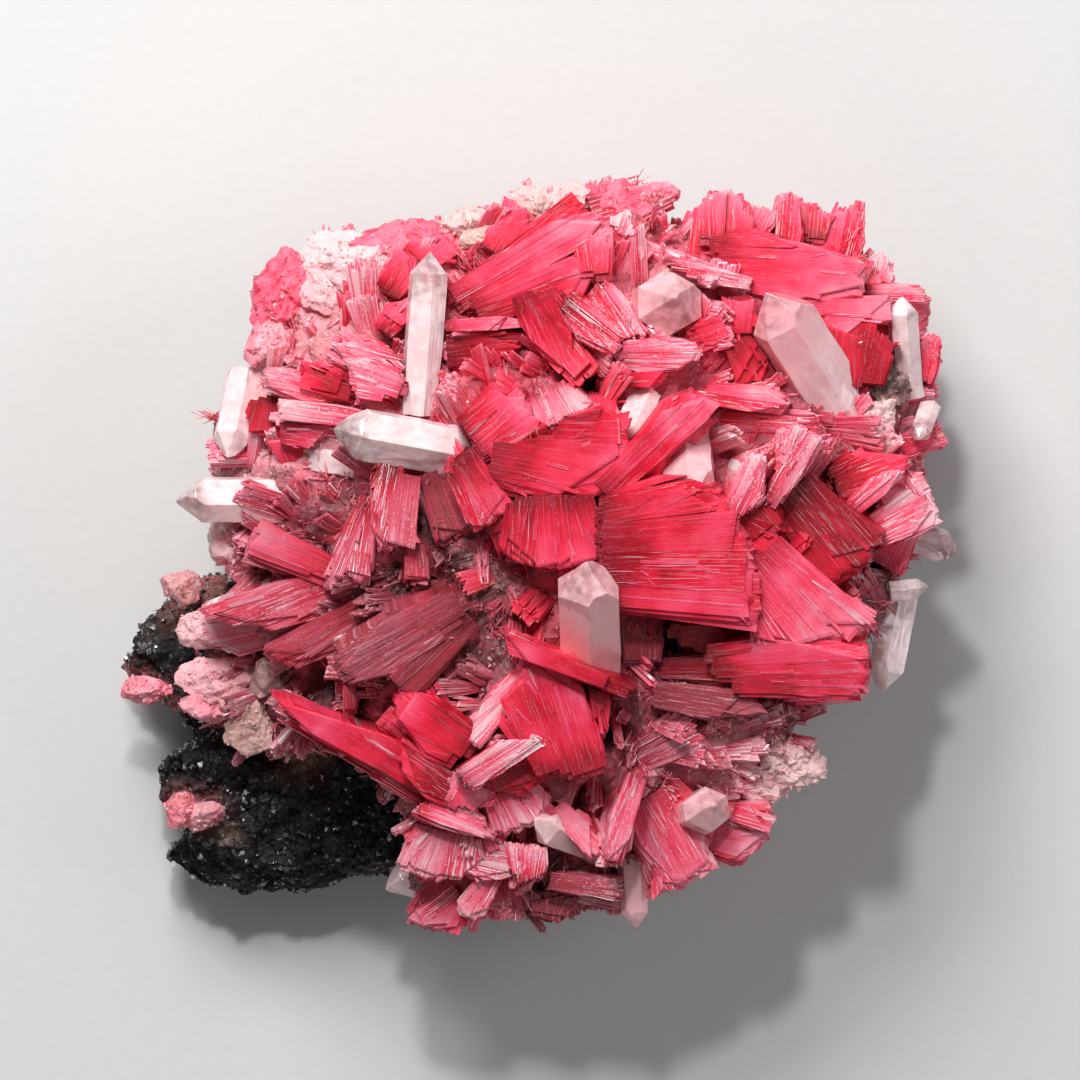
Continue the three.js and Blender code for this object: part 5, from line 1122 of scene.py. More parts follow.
# The great faces: the broad cleaved faces of the largest crystals. Each is a stack of sheets that
# reach further out the lower they lie, and each sheet is a comb of fine laths that run along the grain.
FACETS = {
    # corners [x, y, ...] in tenths of a millimetre, right and down from the upper left corner of a
    # 108 mm square round the specimen's middle, then the grain's direction in degrees, the middle's
    # height over the dome in millimetres, the slopes along and across the grain in degrees, and how
    # red, mauve and white it is
    "main_fan_upper": ([448, 300, 500, 262, 560, 222, 598, 216, 604, 228, 585, 245, 545, 262, 500, 285,
        462, 306], 30, 3.4, 6, 0, 0.5, 0, 0.14),
    "main_fan_lower": ([468, 306, 520, 280, 575, 258, 592, 268, 580, 292, 520, 302, 482, 316],
        22, 2.8, 4, 6, 0.6, 0, 0.04),
    "top_block": ([486, 238, 524, 203, 527, 232, 506, 231, 512, 246, 500, 250, 482, 246],
        60, 2.2, 4, 0, 0.5, 0, 0.1),
    "fan_right_sector": ([574, 248, 603, 222, 610, 240, 606, 270, 600, 284, 590, 270],
        75, 3.4, 3, -8, 0.4, 0, 0.2),
    "centre_plate": ([516, 300, 562, 298, 572, 335, 574, 362, 560, 372, 540, 350, 524, 325],
        -65, 3.4, -5, 8, 0.62, 0, 0.04),
    "centre_plate_side": ([563, 302, 577, 345, 592, 379, 574, 368, 564, 335], -65, 2.6, -4, 28, 0.86, 0, 0),
    "cross_lath": ([446, 324, 500, 319, 522, 320, 522, 328, 447, 333], 3, 3, 0, 0, 0.38, 0, 0.3),
    "dark_recess": ([449, 336, 520, 335, 524, 346, 498, 362, 470, 368, 449, 362],
        5, 0.8, 0, 14, 0.85, 0.2, 0),
    "right_sheaf": ([604, 284, 618, 292, 643, 336, 622, 334, 600, 318, 588, 300],
        -55, 3.6, 2, 0, 0.3, 0, 0.55),
    "pink_ledge_face": ([620, 346, 660, 341, 690, 346, 702, 357, 668, 371, 624, 373],
        0, 3.4, 0, 8, 0.2, 0, 0.55),
    "ledge_underside": ([622, 374, 664, 373, 660, 383, 640, 388, 624, 384], 0, 2.4, 0, 20, 0.7, 0, 0),
    "tall_tablet_left_face": ([700, 203, 709, 200, 713, 192, 724, 190, 724, 235, 708, 244, 698, 225],
        90, 2.2, -4, 0, 0.38, 0, 0.18),
    "tall_tablet_right_face": ([725, 190, 735, 189, 741, 199, 748, 206, 752, 230, 730, 242, 724, 236],
        90, 2.4, -4, -5, 0.5, 0, 0.1),
    "pale_tablet_face": ([748, 206, 776, 211, 772, 226, 758, 236, 751, 228], 65, 1.8, -4, 0, 0.28, 0, 0.5),
    "crest_left_face": ([780, 196, 790, 191, 799, 200, 801, 246, 790, 250, 776, 224],
        85, 2.8, -3, 6, 0.42, 0, 0.35),
    "crest_right_face": ([801, 197, 818, 207, 833, 216, 826, 224, 815, 238, 801, 232],
        85, 3, -4, -6, 0.45, 0, 0.2),
    "crest_point_face": ([833, 217, 848, 208, 863, 203, 857, 240, 861, 252, 845, 256, 828, 262, 812,
        241], 80, 2.6, -4, 0, 0.42, 0, 0.18),
    "top_right_field": ([714, 247, 758, 236, 800, 252, 846, 260, 867, 270, 862, 292, 800, 300, 760, 290,
        720, 274], -5, 3.2, 0, 3, 0.5, 0, 0.08),
    "corner_pale_face": ([866, 260, 885, 251, 893, 270, 894, 282, 874, 282], 80, 2, -5, 0, 0.12, 0, 0.75),
    "right_block_face": ([866, 285, 895, 283, 922, 285, 928, 300, 892, 297, 868, 300],
        0, 2.6, -8, 0, 0.35, 0, 0.45),
    "right_field_face": ([800, 303, 888, 301, 890, 322, 862, 325, 828, 330, 805, 318],
        -3, 3, 0, -4, 0.42, 0, 0.15),
    "deep_triangle": ([828, 333, 862, 327, 890, 346, 862, 386, 850, 396], 85, 2.4, 3, -6, 0.9, 0, 0),
    "edge_wedge": ([914, 342, 941, 337, 937, 365, 933, 386, 920, 372], 75, 2.2, -4, 0, 0.4, 0, 0.3),
    "shaded_face_low": ([732, 333, 748, 336, 763, 360, 768, 382, 738, 380], -60, 1.8, 0, -8, 0.9, 0.1, 0),
    "shaded_face_high": ([727, 300, 750, 300, 752, 320, 746, 344, 732, 332], 90, 2.6, 0, 5, 0.6, 0, 0.05),
    "clear_crystal_seat": ([678, 334, 722, 317, 728, 338, 712, 346, 690, 342], 15, 2.8, 0, 5, 0.55, 0, 0.15),
    "white_lath_face": ([664, 262, 702, 266, 722, 273, 752, 282, 745, 290, 716, 286, 690, 276],
        -10, 4.2, 0, 12, 0.2, 0, 0.85),
    "upper_right_step": ([690, 398, 720, 388, 760, 392, 792, 404, 775, 413, 735, 410],
        -8, 3.4, 0, 8, 0.34, 0, 0.35),
    "heart_face": ([500, 470, 540, 443, 600, 423, 618, 424, 621, 440, 618, 456, 610, 474, 598, 490, 570,
        494, 535, 490, 500, 492, 488, 480], -8, 5.6, 0, 3, 0.64, 0, 0),
    "heart_left_face": ([463, 424, 498, 396, 524, 401, 546, 428, 540, 440, 508, 466, 480, 452],
        35, 4.4, 0, 5, 0.5, 0, 0.1),
    "heart_pale_face": ([527, 406, 541, 384, 570, 390, 592, 408, 562, 424, 546, 430],
        -60, 4.2, 0, 5, 0.2, 0, 0.6),
    "heart_ridge": ([562, 426, 600, 411, 618, 417, 619, 424, 580, 434], 12, 6.2, 0, 16, 0.62, 0, 0),
    "sweeping_face": ([596, 490, 626, 452, 664, 414, 690, 398, 716, 404, 700, 424, 664, 450, 640, 474,
        612, 498], 43, 6, 3, 6, 0.55, 0, 0.05),
    "sweeping_side": ([641, 475, 665, 451, 672, 456, 652, 482, 614, 500], 43, 4.6, 0, 35, 0.84, 0, 0),
    "lower_block_face": ([506, 504, 540, 496, 596, 500, 600, 540, 594, 560, 560, 566, 530, 562, 510,
        550], -85, 5, -9, 0, 0.62, 0, 0.05),
    "lower_block_side": ([498, 504, 506, 506, 512, 552, 500, 556, 488, 524], -80, 3.4, -9, 30, 0.88, 0.25, 0),
    "great_plate_face": ([601, 502, 655, 493, 702, 500, 720, 520, 740, 552, 748, 590, 742, 612, 700, 608,
        650, 612, 612, 606, 603, 560], 2, 6.4, 0, 6, 0.6, 0, 0.06),
    "great_plate_end": ([724, 520, 735, 513, 762, 522, 782, 545, 770, 553, 745, 542],
        -30, 4.6, 0, 0, 0.84, 0, 0),
    "bright_pink_face": ([740, 554, 790, 557, 820, 590, 850, 602, 872, 626, 840, 634, 800, 636, 760, 640,
        745, 600], -45, 5.8, -6, 0, 0.44, 0.05, 0.18),
    "dark_face_left": ([718, 506, 745, 491, 768, 505, 778, 530, 762, 545, 735, 540, 723, 520],
        -60, 4, 0, 12, 0.98, 0.2, 0),
    "dark_face_right": ([779, 500, 800, 483, 845, 510, 870, 536, 862, 560, 830, 585, 800, 566, 784, 535],
        -50, 3.8, 0, 10, 1, 0.2, 0),
    "silver_left_face": ([720, 518, 735, 480, 748, 453, 762, 456, 757, 500, 735, 516],
        65, 6.4, 0, 10, 0.36, 0, 0.8),
    "silver_right_face": ([765, 504, 779, 470, 784, 440, 800, 429, 819, 440, 795, 482, 772, 508],
        58, 6.4, 0, 12, 0.36, 0, 0.8),
    "right_red_face": ([828, 472, 848, 457, 880, 463, 905, 456, 900, 480, 870, 490, 845, 498],
        20, 3.2, -3, 0, 0.62, 0, 0.1),
    "right_light_face": ([842, 506, 868, 482, 898, 469, 903, 476, 876, 500, 852, 515],
        40, 4, -3, 8, 0.35, 0, 0.5),
    "right_edge_face": ([866, 521, 903, 482, 921, 479, 934, 518, 900, 540, 880, 545],
        30, 3, -8, 0, 0.22, 0, 0.5),
    "mauve_lath_face": ([340, 656, 400, 613, 450, 598, 470, 605, 430, 640, 390, 674, 380, 668, 350, 684,
        342, 672], -150, 5, -4, -14, 0.45, 0.6, 0.12),
    "mauve_lath_side": ([392, 675, 431, 641, 470, 607, 474, 622, 450, 650, 416, 690, 400, 688],
        -138, 3.6, -3, -22, 0.65, 0.6, 0.03),
    "left_band_upper": ([205, 612, 260, 591, 300, 576, 355, 570, 385, 590, 360, 600, 320, 613, 285, 623,
        230, 620], -160, 3, -4, -12, 0.4, 0.3, 0.3),
    "left_band_lower": ([264, 652, 290, 638, 330, 613, 388, 592, 390, 605, 355, 640, 300, 660],
        -150, 2.8, -4, -14, 0.5, 0.5, 0.12),
    "left_band_pink": ([205, 621, 250, 613, 290, 626, 280, 640, 240, 650, 206, 640],
        -170, 2.4, -4, 0, 0.2, 0.05, 0.6),
    "blunt_lath_face": ([250, 540, 262, 525, 320, 556, 345, 578, 310, 574, 270, 560, 252, 552],
        155, 2.8, 4, -10, 0.45, 0.3, 0.08),
    "hanging_face_left": ([361, 500, 368, 498, 354, 560, 334, 590, 326, 588, 341, 545],
        -112, 3.4, -3, -8, 0.4, 0.3, 0.35),
    "hanging_face_right": ([368, 500, 375, 510, 371, 565, 360, 583, 348, 572, 356, 540],
        -100, 3.2, -3, 8, 0.4, 0.35, 0.35),
    "brick_face": ([376, 468, 400, 470, 412, 500, 410, 515, 414, 540, 385, 545, 376, 520],
        -100, 4, -3, 0, 0.5, 0.3, 0.3),
    "shaded_bundle_face": ([424, 478, 450, 480, 470, 528, 440, 540, 428, 505],
        -70, 2.2, -3, 6, 0.6, 0.6, 0.05),
    "glinting_bundle_face": ([458, 462, 474, 451, 509, 505, 500, 518, 478, 528, 468, 508],
        -58, 5.4, -3, 6, 0.6, 0.15, 0.15),
    "left_stack_upper": ([265, 373, 300, 378, 345, 391, 352, 399, 300, 400, 268, 388],
        167, 3.2, 4, -10, 0.36, 0, 0.5),
    "left_stack_lower": ([280, 401, 340, 408, 395, 424, 345, 424, 283, 418], 170, 2.8, 4, -8, 0.2, 0, 0.7),
    "left_red_face": ([250, 406, 277, 399, 280, 430, 262, 436, 249, 425], -100, 1.8, 0, 6, 0.88, 0, 0),
    "left_red_recess_face": ([284, 425, 333, 427, 325, 441, 300, 447, 283, 439],
        -5, 2, -3, 8, 0.5, 0.1, 0.25),
    "left_red_band": ([302, 363, 345, 372, 356, 394, 313, 387], 160, 3.6, 3, 0, 0.62, 0, 0.05),
    "left_pale_band": ([346, 361, 400, 366, 405, 394, 362, 398], 160, 3.2, 2, 0, 0.28, 0, 0.6),
    "left_top_band": ([330, 346, 380, 345, 402, 364, 350, 360], 165, 3.4, 2, -6, 0.3, 0, 0.6),
    "lower_red_face": ([530, 663, 560, 665, 580, 690, 600, 745, 606, 765, 590, 772, 550, 770, 525, 750,
        512, 720, 520, 690], 108, 5.2, 8, 0, 0.62, 0, 0.04),
    "lower_pale_face": ([494, 691, 528, 663, 524, 690, 505, 715, 479, 742, 470, 738, 481, 712],
        -135, 4.2, 4, 0, 0.2, 0, 0.65),
    "lower_dark_face": ([500, 722, 514, 724, 527, 752, 545, 772, 520, 790, 490, 785, 480, 760],
        -40, 3.4, -4, 0, 0.84, 0.05, 0),
    "spear_face": ([505, 633, 540, 648, 600, 672, 640, 690, 600, 686, 560, 670, 520, 655],
        158, 7, 3, -8, 0.6, 0, 0.06),
    "lower_right_edge": ([588, 684, 606, 690, 609, 720, 602, 742, 592, 715], -80, 4.4, -8, -20, 0.78, 0, 0),
    "long_red_face": ([275, 697, 330, 720, 400, 743, 450, 786, 432, 798, 380, 768, 320, 735, 285, 712],
        150, 5.4, 9, -8, 0.68, 0, 0.06),
    "red_fan_face": ([398, 692, 430, 697, 470, 722, 480, 745, 440, 760, 402, 722],
        145, 4, 4, -5, 0.74, 0, 0.02),
    "red_fan_lower": ([402, 736, 440, 761, 472, 790, 440, 800, 406, 766], 145, 4, 6, 4, 0.82, 0.1, 0),
    "silver_face": ([457, 770, 500, 743, 540, 736, 542, 743, 502, 766, 472, 788], 30, 6.4, 3, 8, 0.2, 0, 0.9),
    "shelf_face": ([416, 812, 440, 792, 470, 802, 497, 838, 440, 822], -20, 4.4, -3, -6, 0.3, 0, 0.55),
    "broad_plate_face": ([418, 823, 500, 840, 490, 848, 470, 870, 440, 877, 405, 865, 408, 845],
        -102, 3.6, -6, 0, 0.26, 0.25, 0.4),
    "bottom_left_face": ([405, 921, 425, 905, 452, 885, 462, 905, 455, 927, 425, 925],
        -145, 2.6, -8, 0, 0.26, 0.15, 0.4),
    "bottom_middle_face": ([462, 900, 490, 866, 502, 880, 482, 914, 462, 914],
        -122, 3.4, -6, -6, 0.25, 0.15, 0.5),
    "bottom_grey_face": ([560, 871, 620, 879, 620, 898, 575, 893, 547, 888], -8, 3.6, 0, 4, 0.4, 0.6, 0.35),
    "bottom_grey_foot": ([535, 891, 575, 895, 570, 911, 548, 920, 531, 910], 80, 2.2, 6, 0, 0.4, 0.7, 0.1),
    "pink_cap_face": ([545, 808, 585, 812, 601, 850, 590, 858, 578, 830], -50, 3.4, -3, -10, 0.28, 0, 0.35),
    "upright_face": ([628, 776, 645, 770, 633, 820, 618, 862, 606, 858, 613, 815],
        -108, 6.2, -4, -6, 0.24, 0, 0.55),
    "lower_right_face": ([634, 802, 660, 792, 700, 822, 705, 850, 690, 879, 664, 880, 652, 848, 636, 836],
        -60, 1.8, -6, 0, 0.36, 0.12, 0.32),
    "lower_right_pink": ([702, 802, 730, 810, 768, 818, 764, 835, 745, 857, 716, 850],
        -25, 1.6, -6, 0, 0.28, 0.1, 0.42),
    "lower_right_tip": ([655, 857, 700, 840, 715, 867, 680, 884, 655, 894], -50, 3, -6, 0, 0.2, 0, 0.5),
    "wedge_face": ([704, 652, 745, 641, 800, 641, 862, 649, 866, 671, 862, 688, 800, 696, 770, 690, 722,
        676], 2, 5.2, 5, 10, 0.66, 0.15, 0.07),
    "wedge_low_face": ([772, 691, 860, 673, 866, 689, 804, 698], 8, 5.6, 0, -8, 0.34, 0, 0.5),
    "dark_mauve_face": ([662, 681, 740, 691, 765, 710, 700, 715, 652, 705], -8, 2.6, 0, -6, 0.6, 0.7, 0.05),
    "fan_converge": ([577, 250, 600, 228, 607, 235, 606, 275, 600, 283, 590, 270],
        95, 4.5, -3, 0, 0.45, 0, 0.2),
    "silver_stack": ([563, 303, 576, 300, 598, 312, 622, 340, 618, 353, 600, 350, 575, 335, 566, 318],
        -38, 4.5, 0, 8, 0.4, 0.1, 0.6),
    "pale_triangle": ([610, 220, 628, 211, 633, 238, 622, 238], 70, 3, 0, 0, 0.05, 0, 1),
    "bright_facet": ([698, 275, 719, 278, 708, 289, 698, 282], 0, 4.5, 0, 8, 0.05, 0, 1),
    "red_slab": ([728, 300, 750, 300, 752, 322, 742, 345, 730, 330], -80, 2.5, 0, 0, 0.65, 0, 0.05),
    "mid_slab": ([688, 335, 712, 318, 728, 322, 730, 345, 700, 350], 30, 2.5, 0, 0, 0.35, 0, 0.4),
    "pale_right_fan": ([880, 500, 905, 470, 915, 490, 930, 512, 920, 530, 890, 540],
        -60, 3, -6, 0, 0.2, 0.05, 0.5),
    "wedge_tips": ([790, 637, 825, 628, 862, 645, 872, 664, 850, 652, 820, 645],
        -20, 5.7, 0, -8, 0.8, 0, 0.1),
    # A dark sheet in the gap under the great plate: painted shade.
    "painted_shade_under_plate": ([655, 632, 685, 624, 722, 625, 742, 634, 746, 641, 700, 650, 690, 640],
        0, 0.4, 0, 10, 1, 0.4, 0),
    "beside_pink": ([800, 600, 852, 600, 866, 632, 840, 630, 815, 618], -30, 3, -4, 0, 0.4, 0.15, 0.3),
    # A dark upright sheet beside it: painted shade.
    "painted_shade_vertical": ([622, 618, 655, 620, 660, 650, 640, 665, 622, 660], 90, 0, 0, 0, 1, 0.5, 0),
    "right_laths_a": ([735, 803, 776, 818, 766, 830, 735, 822], -15, 3, -4, 6, 0.3, 0.1, 0.35),
    "right_laths_b": ([725, 832, 767, 834, 757, 850, 730, 858, 708, 848],
        -10, 2.5, -4, 6, 0.34, 0.1, 0.3),
    "bottom_block": ([512, 844, 544, 848, 546, 874, 520, 880, 513, 868], 88, 4.2, 4, 0, 0.3, 0.2, 0.65),
    "clear_lath": ([625, 786, 639, 775, 633, 805, 622, 862, 608, 858, 613, 820],
        77, 5.5, 4, 8, 0.3, 0.1, 0.4),
    "striated": ([415, 811, 430, 801, 455, 806, 455, 830, 432, 823, 418, 818],
        75, 4.2, 4, 0, 0.3, 0.1, 0.7),
    "small_hanging": ([414, 540, 425, 545, 428, 578, 416, 583, 408, 562], -85, 1.5, 0, -8, 0.5, 0.5, 0.1),
    "short_vertical": ([345, 683, 356, 686, 357, 706, 352, 720, 346, 718], 88, 2, 0, -8, 0.45, 0.4, 0.1),
    "sheaf": ([378, 330, 385, 310, 408, 298, 410, 318, 395, 330], 55, 3, 0, 0, 0.55, 0, 0.15),
    "red_left_of_quartz": ([383, 270, 400, 255, 415, 262, 408, 290, 395, 300, 385, 290],
        60, 2.7, -4, 0, 0.72, 0, 0.05),
    "red_behind_quartz": ([405, 250, 440, 233, 450, 245, 450, 262, 420, 255], 45, 1.7, -4, 0, 0.6, 0, 0.1),
    "low_pink_face": ([484, 792, 520, 778, 548, 796, 536, 822, 496, 832], -60, 2.6, -3, 0, 0.28, 0.1, 0.5),
    "low_pale_blocks": ([458, 842, 486, 838, 516, 850, 512, 872, 470, 874], -10, 3, 0, 4, 0.1, 0.15, 0.9),
    "low_left_laths": ([436, 778, 470, 772, 493, 784, 486, 806, 446, 802], 55, 4, 3, 0, 0.4, 0.05, 0.5),
    "right_outer": ([915, 344, 940, 337, 938, 362, 932, 385, 920, 372], 70, 2, -6, 0, 0.35, 0, 0.35),
}
FACET_CORNER = np.array([-54.0, 55.4])  # where that square's upper left corner lies, in millimetres
FACET_SPLAY = 0.14  # how much closer the laths lie at the root, and wider at the tip
FLAKES = 1.3  # flakes on the uppermost sheet, for each millimetre across the face
SHORTEST = 0.35  # no lath of a face is shorter than this, in millimetres
FACET_SHEETS = [
    # how far the sheet's top lies under the face, its thickness, how far it reaches past the outline, how
    # ragged its ends are, and the widths of its laths, all in millimetres
    [0.0, 0.45, 0.0, 0.6, 0.5, 4.0],
    [0.35, 0.6, 0.35, 0.9, 0.3, 2.4],
    [0.75, 0.9, 0.8, 1.0, 0.3, 1.4],
    [1.5, 1.6, 1.1, 1.2, 0.4, 1.2],
]


def spans_along(plan, places):
    """For lines across the polygon at the given places of its first axis: where each line enters
    and leaves, from the sides that it crosses."""
    after = np.roll(plan, -1, axis=0)
    s0, s1, t0, t1 = plan[:, 0], after[:, 0], plan[:, 1], after[:, 1]
    share = (places[:, None] - s0) / np.where(s1 == s0, 1e-9, s1 - s0)
    crossing = np.where((share >= 0) & (share <= 1), t0 + share * (t1 - t0), np.nan)
    return np.nanmin(crossing, axis=1), np.nanmax(crossing, axis=1)


def comb_laths(corners, grain, lift, slope_along, slope_across, tone, draw):
    """One great face as laths. In the frame of its grain the polygon is cut by chance into strips
    for every sheet. A strip runs from where it enters the polygon to where it leaves it, give or take
    the raggedness, and its level and its turn differ a little from its neighbours'. Flakes, short
    thin strips, lie on the uppermost sheet."""
    plan = np.array(corners, float).reshape(-1, 2)
    plan = FACET_CORNER + plan / 10 * (1, -1)
    middle = (plan.min(axis=0) + plan.max(axis=0)) / 2
    ahead = np.array([math.cos(math.radians(grain)), math.sin(math.radians(grain))])
    aside = np.array([ahead[1], -ahead[0]])
    local = np.stack([(plan - middle) @ aside, (plan - middle) @ ahead], axis=1)
    rise_along = math.tan(math.radians(slope_along))
    rise_across = math.tan(math.radians(slope_across))
    along = unit(np.array([*ahead, rise_along]))
    face = unit(np.cross(np.array([*aside, -rise_across]), along))
    across = np.cross(along, face)
    level = dome(*middle) + lift
    lined = tone[2]
    uneven = 0.12 + lined
    extent = np.ptp(local, axis=0)
    rows = []
    for number, (under, thick, past, ragged, narrow, wide) in enumerate(FACET_SHEETS):
        past = min(past, 0.09 * extent.min())
        ragged = min(ragged, 0.14 * extent.min()) * (0.5 + 1.2 * lined)
        grow = 1 + 2 * past * draw.uniform(0.2, 1.3, 2) / extent
        under = under * draw.uniform(0.6, 1.3)
        shape = local * grow + 0.5 * past * draw.uniform(-1, 1, 2)
        low, high = shape[:, 0].min(), shape[:, 0].max()
        wide = max(narrow + 0.1, wide * (1.15 - 1.5 * lined))
        cuts = low + np.cumsum(draw.uniform(narrow, wide, int((high - low) / narrow) + 3))
        cuts = np.concatenate([[low], cuts[cuts < high - 0.1], [high]])
        if number == 0:
            flakes = low + (high - low) * draw.uniform(0, 1, int((high - low) * FLAKES))
            left = np.concatenate([cuts[:-1], flakes])
            right = np.concatenate([cuts[1:], flakes + draw.uniform(0.08, 0.4, len(flakes))])
            right = np.minimum(right, high)
        else:
            left, right = cuts[:-1], cuts[1:]
        flake = np.arange(len(left)) >= len(cuts) - 1
        near_left = spans_along(shape, left + (right - left) * 0.06)
        near_right = spans_along(shape, right - (right - left) * 0.06)
        root = np.minimum(near_left[0], near_right[0]) + ragged * draw.uniform(-0.3, 0.7, len(left))
        end = np.maximum(near_left[1], near_right[1]) - ragged * draw.uniform(-0.3, 0.7, len(left)) ** 2
        cut = np.sort(draw.uniform(0.0, 1.0, (2, len(left))), axis=0)
        run = end - root
        end = np.where(flake, root + run * cut[1], end)
        root = np.where(flake, root + run * cut[0], root)
        kept = end - root > SHORTEST
        left, right, root, end, flake = (a[kept] for a in (left, right, root, end, flake))
        slant = (near_left[1] - near_right[1])[kept] * ~flake
        slant = slant + draw.uniform(-0.8, 0.8, len(left)) * (right - left)
        slant = np.clip(slant, -0.6 * (end - root), 0.6 * (end - root))
        s = (left + right) / 2
        last = number == len(FACET_SHEETS) - 1
        deep = np.where(flake, draw.uniform(0.1, 0.2, len(left)), thick + last * max(0.0, lift - 0.8))
        top = level - under + draw.uniform(-0.06, 0.02, len(left)) * uneven
        top = top + flake * draw.uniform(0.03, 0.08, len(left))
        s = s[:, None] * (1 - FACET_SPLAY, 1 + FACET_SPLAY)
        run = np.stack([root, end], axis=1)
        out = middle + s[..., None] * aside + run[..., None] * ahead
        height = top[:, None] + rise_along * run - rise_across * s
        ends = np.concatenate([out, height[..., None]], axis=2) - face * (deep / 2)[:, None, None]
        turn = np.radians(draw.normal(0, 2.0 * uneven, len(left)))[:, None] * (~flake)[:, None]
        sides = twisted(across, face, turn)
        width = (right - left)[:, None] + 0.02
        widths = [width * (1 - FACET_SPLAY), width * (1 + FACET_SPLAY)]
        tones = np.array(tone) + draw.normal(0, 1, (len(left), 1)) * (0.04, 0.03, 0.04)
        tones = np.clip(tones + flake[:, None] * (-0.14, 0.0, 0.06 + 0.2 * lined), 0, 1)
        reach = np.clip(run / extent[1] + 0.5, 0, 1)
        parts = [ends[:, 0], ends[:, 1], *sides, *widths, deep[:, None], slant[:, None], tones, reach]
        rows.append(np.concatenate(parts, axis=1))
    return np.concatenate(rows)


facet_laths = {"great_faces_upper": [], "great_faces_lower": []}
for number, (corners, grain, lift, slope_along, slope_across, *tone) in enumerate(FACETS.values()):
    draw = np.random.default_rng(900 + number)
    name = "great_faces_upper" if corners[1] < 500 else "great_faces_lower"
    facet_laths[name].append(comb_laths(corners, grain, lift, slope_along, slope_across, tone, draw))
for name, rows in facet_laths.items():
    rows = np.concatenate(rows)
    make_laths(name, rows[:, :19], reach=rows[:, 19:])


# The small groups: hundreds of short fans of the same blades, which cover the crust between the large
# groups and down its side walls. Neighbours lean much the same way, as they grew from shared seams.
SMALL_STEP = 2.0  # how far apart the small groups grow, in millimetres
SMALL_SHEET = 0.30  # thickness of their sheets
SMALL_SUNK = 1.4  # how deep their roots lie in the crust
SMALL_LENGTH = 4.6
QUARTZ_CLEARANCE = 2.2  # none grow nearer than this to the axis of a quartz crystal
WALL_GROUPS = 288
WALL_FOOT = 8.5  # height of the lowest groups on the side walls
WALL_TOP = 3.0  # how far below the dome the highest ones grow


def inside(outline, x, y):
    """True where a place lies in the polygon: a line from it crosses the sides an odd number of
    times."""
    a = np.array(outline, float)
    b = np.roll(a, -1, axis=0)
    spans = (a[:, 1] > y[:, None]) != (b[:, 1] > y[:, None])
    rise = np.where(b[:, 1] == a[:, 1], 1e-9, b[:, 1] - a[:, 1])
    crossing = a[:, 0] + (y[:, None] - a[:, 1]) / rise * (b[:, 0] - a[:, 0])
    return (spans & (x[:, None] < crossing)).sum(axis=1) % 2 == 1


def scattered(step, draw):
    """Places on a square grid of the given step, each moved by chance, that lie on the crust."""
    x, y = (a.ravel() for a in np.meshgrid(np.arange(-37, 40, step), np.arange(-37, 38, step)))
    x = x + draw.uniform(-0.5, 0.5, len(x)) * step
    y = y + draw.uniform(-0.5, 0.5, len(y)) * step
    kept = inside(CRUST_OUTLINE, x, y)
    return x[kept], y[kept]


def beside(x, y, x0, y0, x1, y1, root_half, tip_half):
    """True where a place lies within a tapering strip from one end to the other."""
    dx, dy = x1 - x0, y1 - y0
    size = math.hypot(dx, dy)
    t = ((x - x0) * dx + (y - y0) * dy) / size**2
    away = np.abs((x - x0) * dy - (y - y0) * dx) / size
    return (t > 0.0) & (t < 1.0) & (away < root_half + (tip_half - root_half) * t)


def crust_roots(x, y, sunk):
    """Roots on the crust at the given places, sunk into it by a depth. The crust has fallen a little
    below its dome, and more over the last seventh of the way to the rim, an ellipse in plan."""
    fall = np.interp(np.hypot((x - 2) / 38, (y - 1) / 36), [0.86, 0.96, 1.0], [0.3, 1.6, 3.2])
    return np.stack([x, y, dome(x, y) - cavity_depth(x, y) - fall - sunk], axis=1)


def small_fans(root, heading, rise, length, tone, draw):
    """Short fans from given roots. Each runs along its heading, tilted up by its rise, with its own
    width, thickness and turn."""
    flat = np.cos(rise)
    ahead = np.stack([np.cos(heading) * flat, np.sin(heading) * flat, np.sin(rise)], axis=1)
    fans = []
    for k in range(len(root)):
        tip = root[k] + ahead[k] * length[k]
        width = length[k] * draw.uniform(0.2, 0.62)
        root_width = width * draw.uniform(0.35, 0.8)
        thick = draw.uniform(0.4, 1.2)
        turn = draw.normal(0, 35)
        lath = draw.uniform(0.35, 1.1)
        wild = draw.uniform(0.04, 0.3)
        fans.append(
            fan_laths(root[k], tip, root_width, width, thick, turn, lath, tone[k], wild, draw, SMALL_SHEET)
        )
    return np.concatenate(fans)


draw = np.random.default_rng(7)
x, y = scattered(SMALL_STEP, draw)
covered = np.zeros(len(x), bool)
for x0, y0, x1, y1, _, root_width, tip_width, _, turn, *_ in BLADES.values():
    spread = 0.42 * math.cos(math.radians(turn))
    covered |= beside(x, y, x0, y0, x1, y1, root_width * spread, tip_width * spread)
for x0, y0, _, x1, y1, *_ in QUARTZ.values():
    covered |= beside(x, y, x0, y0, x1, y1, QUARTZ_CLEARANCE, QUARTZ_CLEARANCE)
x, y = x[~covered], y[~covered]
root = crust_roots(x, y, SMALL_SUNK)
seam = lattice_noise(np.stack([x / 11, y / 11, 0 * x], axis=1), 77)
heading = np.arctan2(y + 2, x - 6) + 1.9 * seam + draw.normal(0, 0.6, len(x))
rise = np.radians(np.clip(draw.normal(24, 15, len(x)), 3, 80))
length = np.clip(SMALL_LENGTH * np.exp(draw.normal(0, 0.3, len(x))), 2.4, 9.0)
overhang = ~inside(CRUST_OUTLINE, x + np.cos(heading) * length, y + np.sin(heading) * length)
length = np.where(overhang, 0.45 * length, length) * np.where((x < -19) & (y > 15), 0.6, 1.0)
tone = tone_at(x, y)
for name, kept in (("small_groups_left", x < 2), ("small_groups_right", x >= 2)):
    make_laths(name, small_fans(root[kept], heading[kept], rise[kept], length[kept], tone[kept], draw))

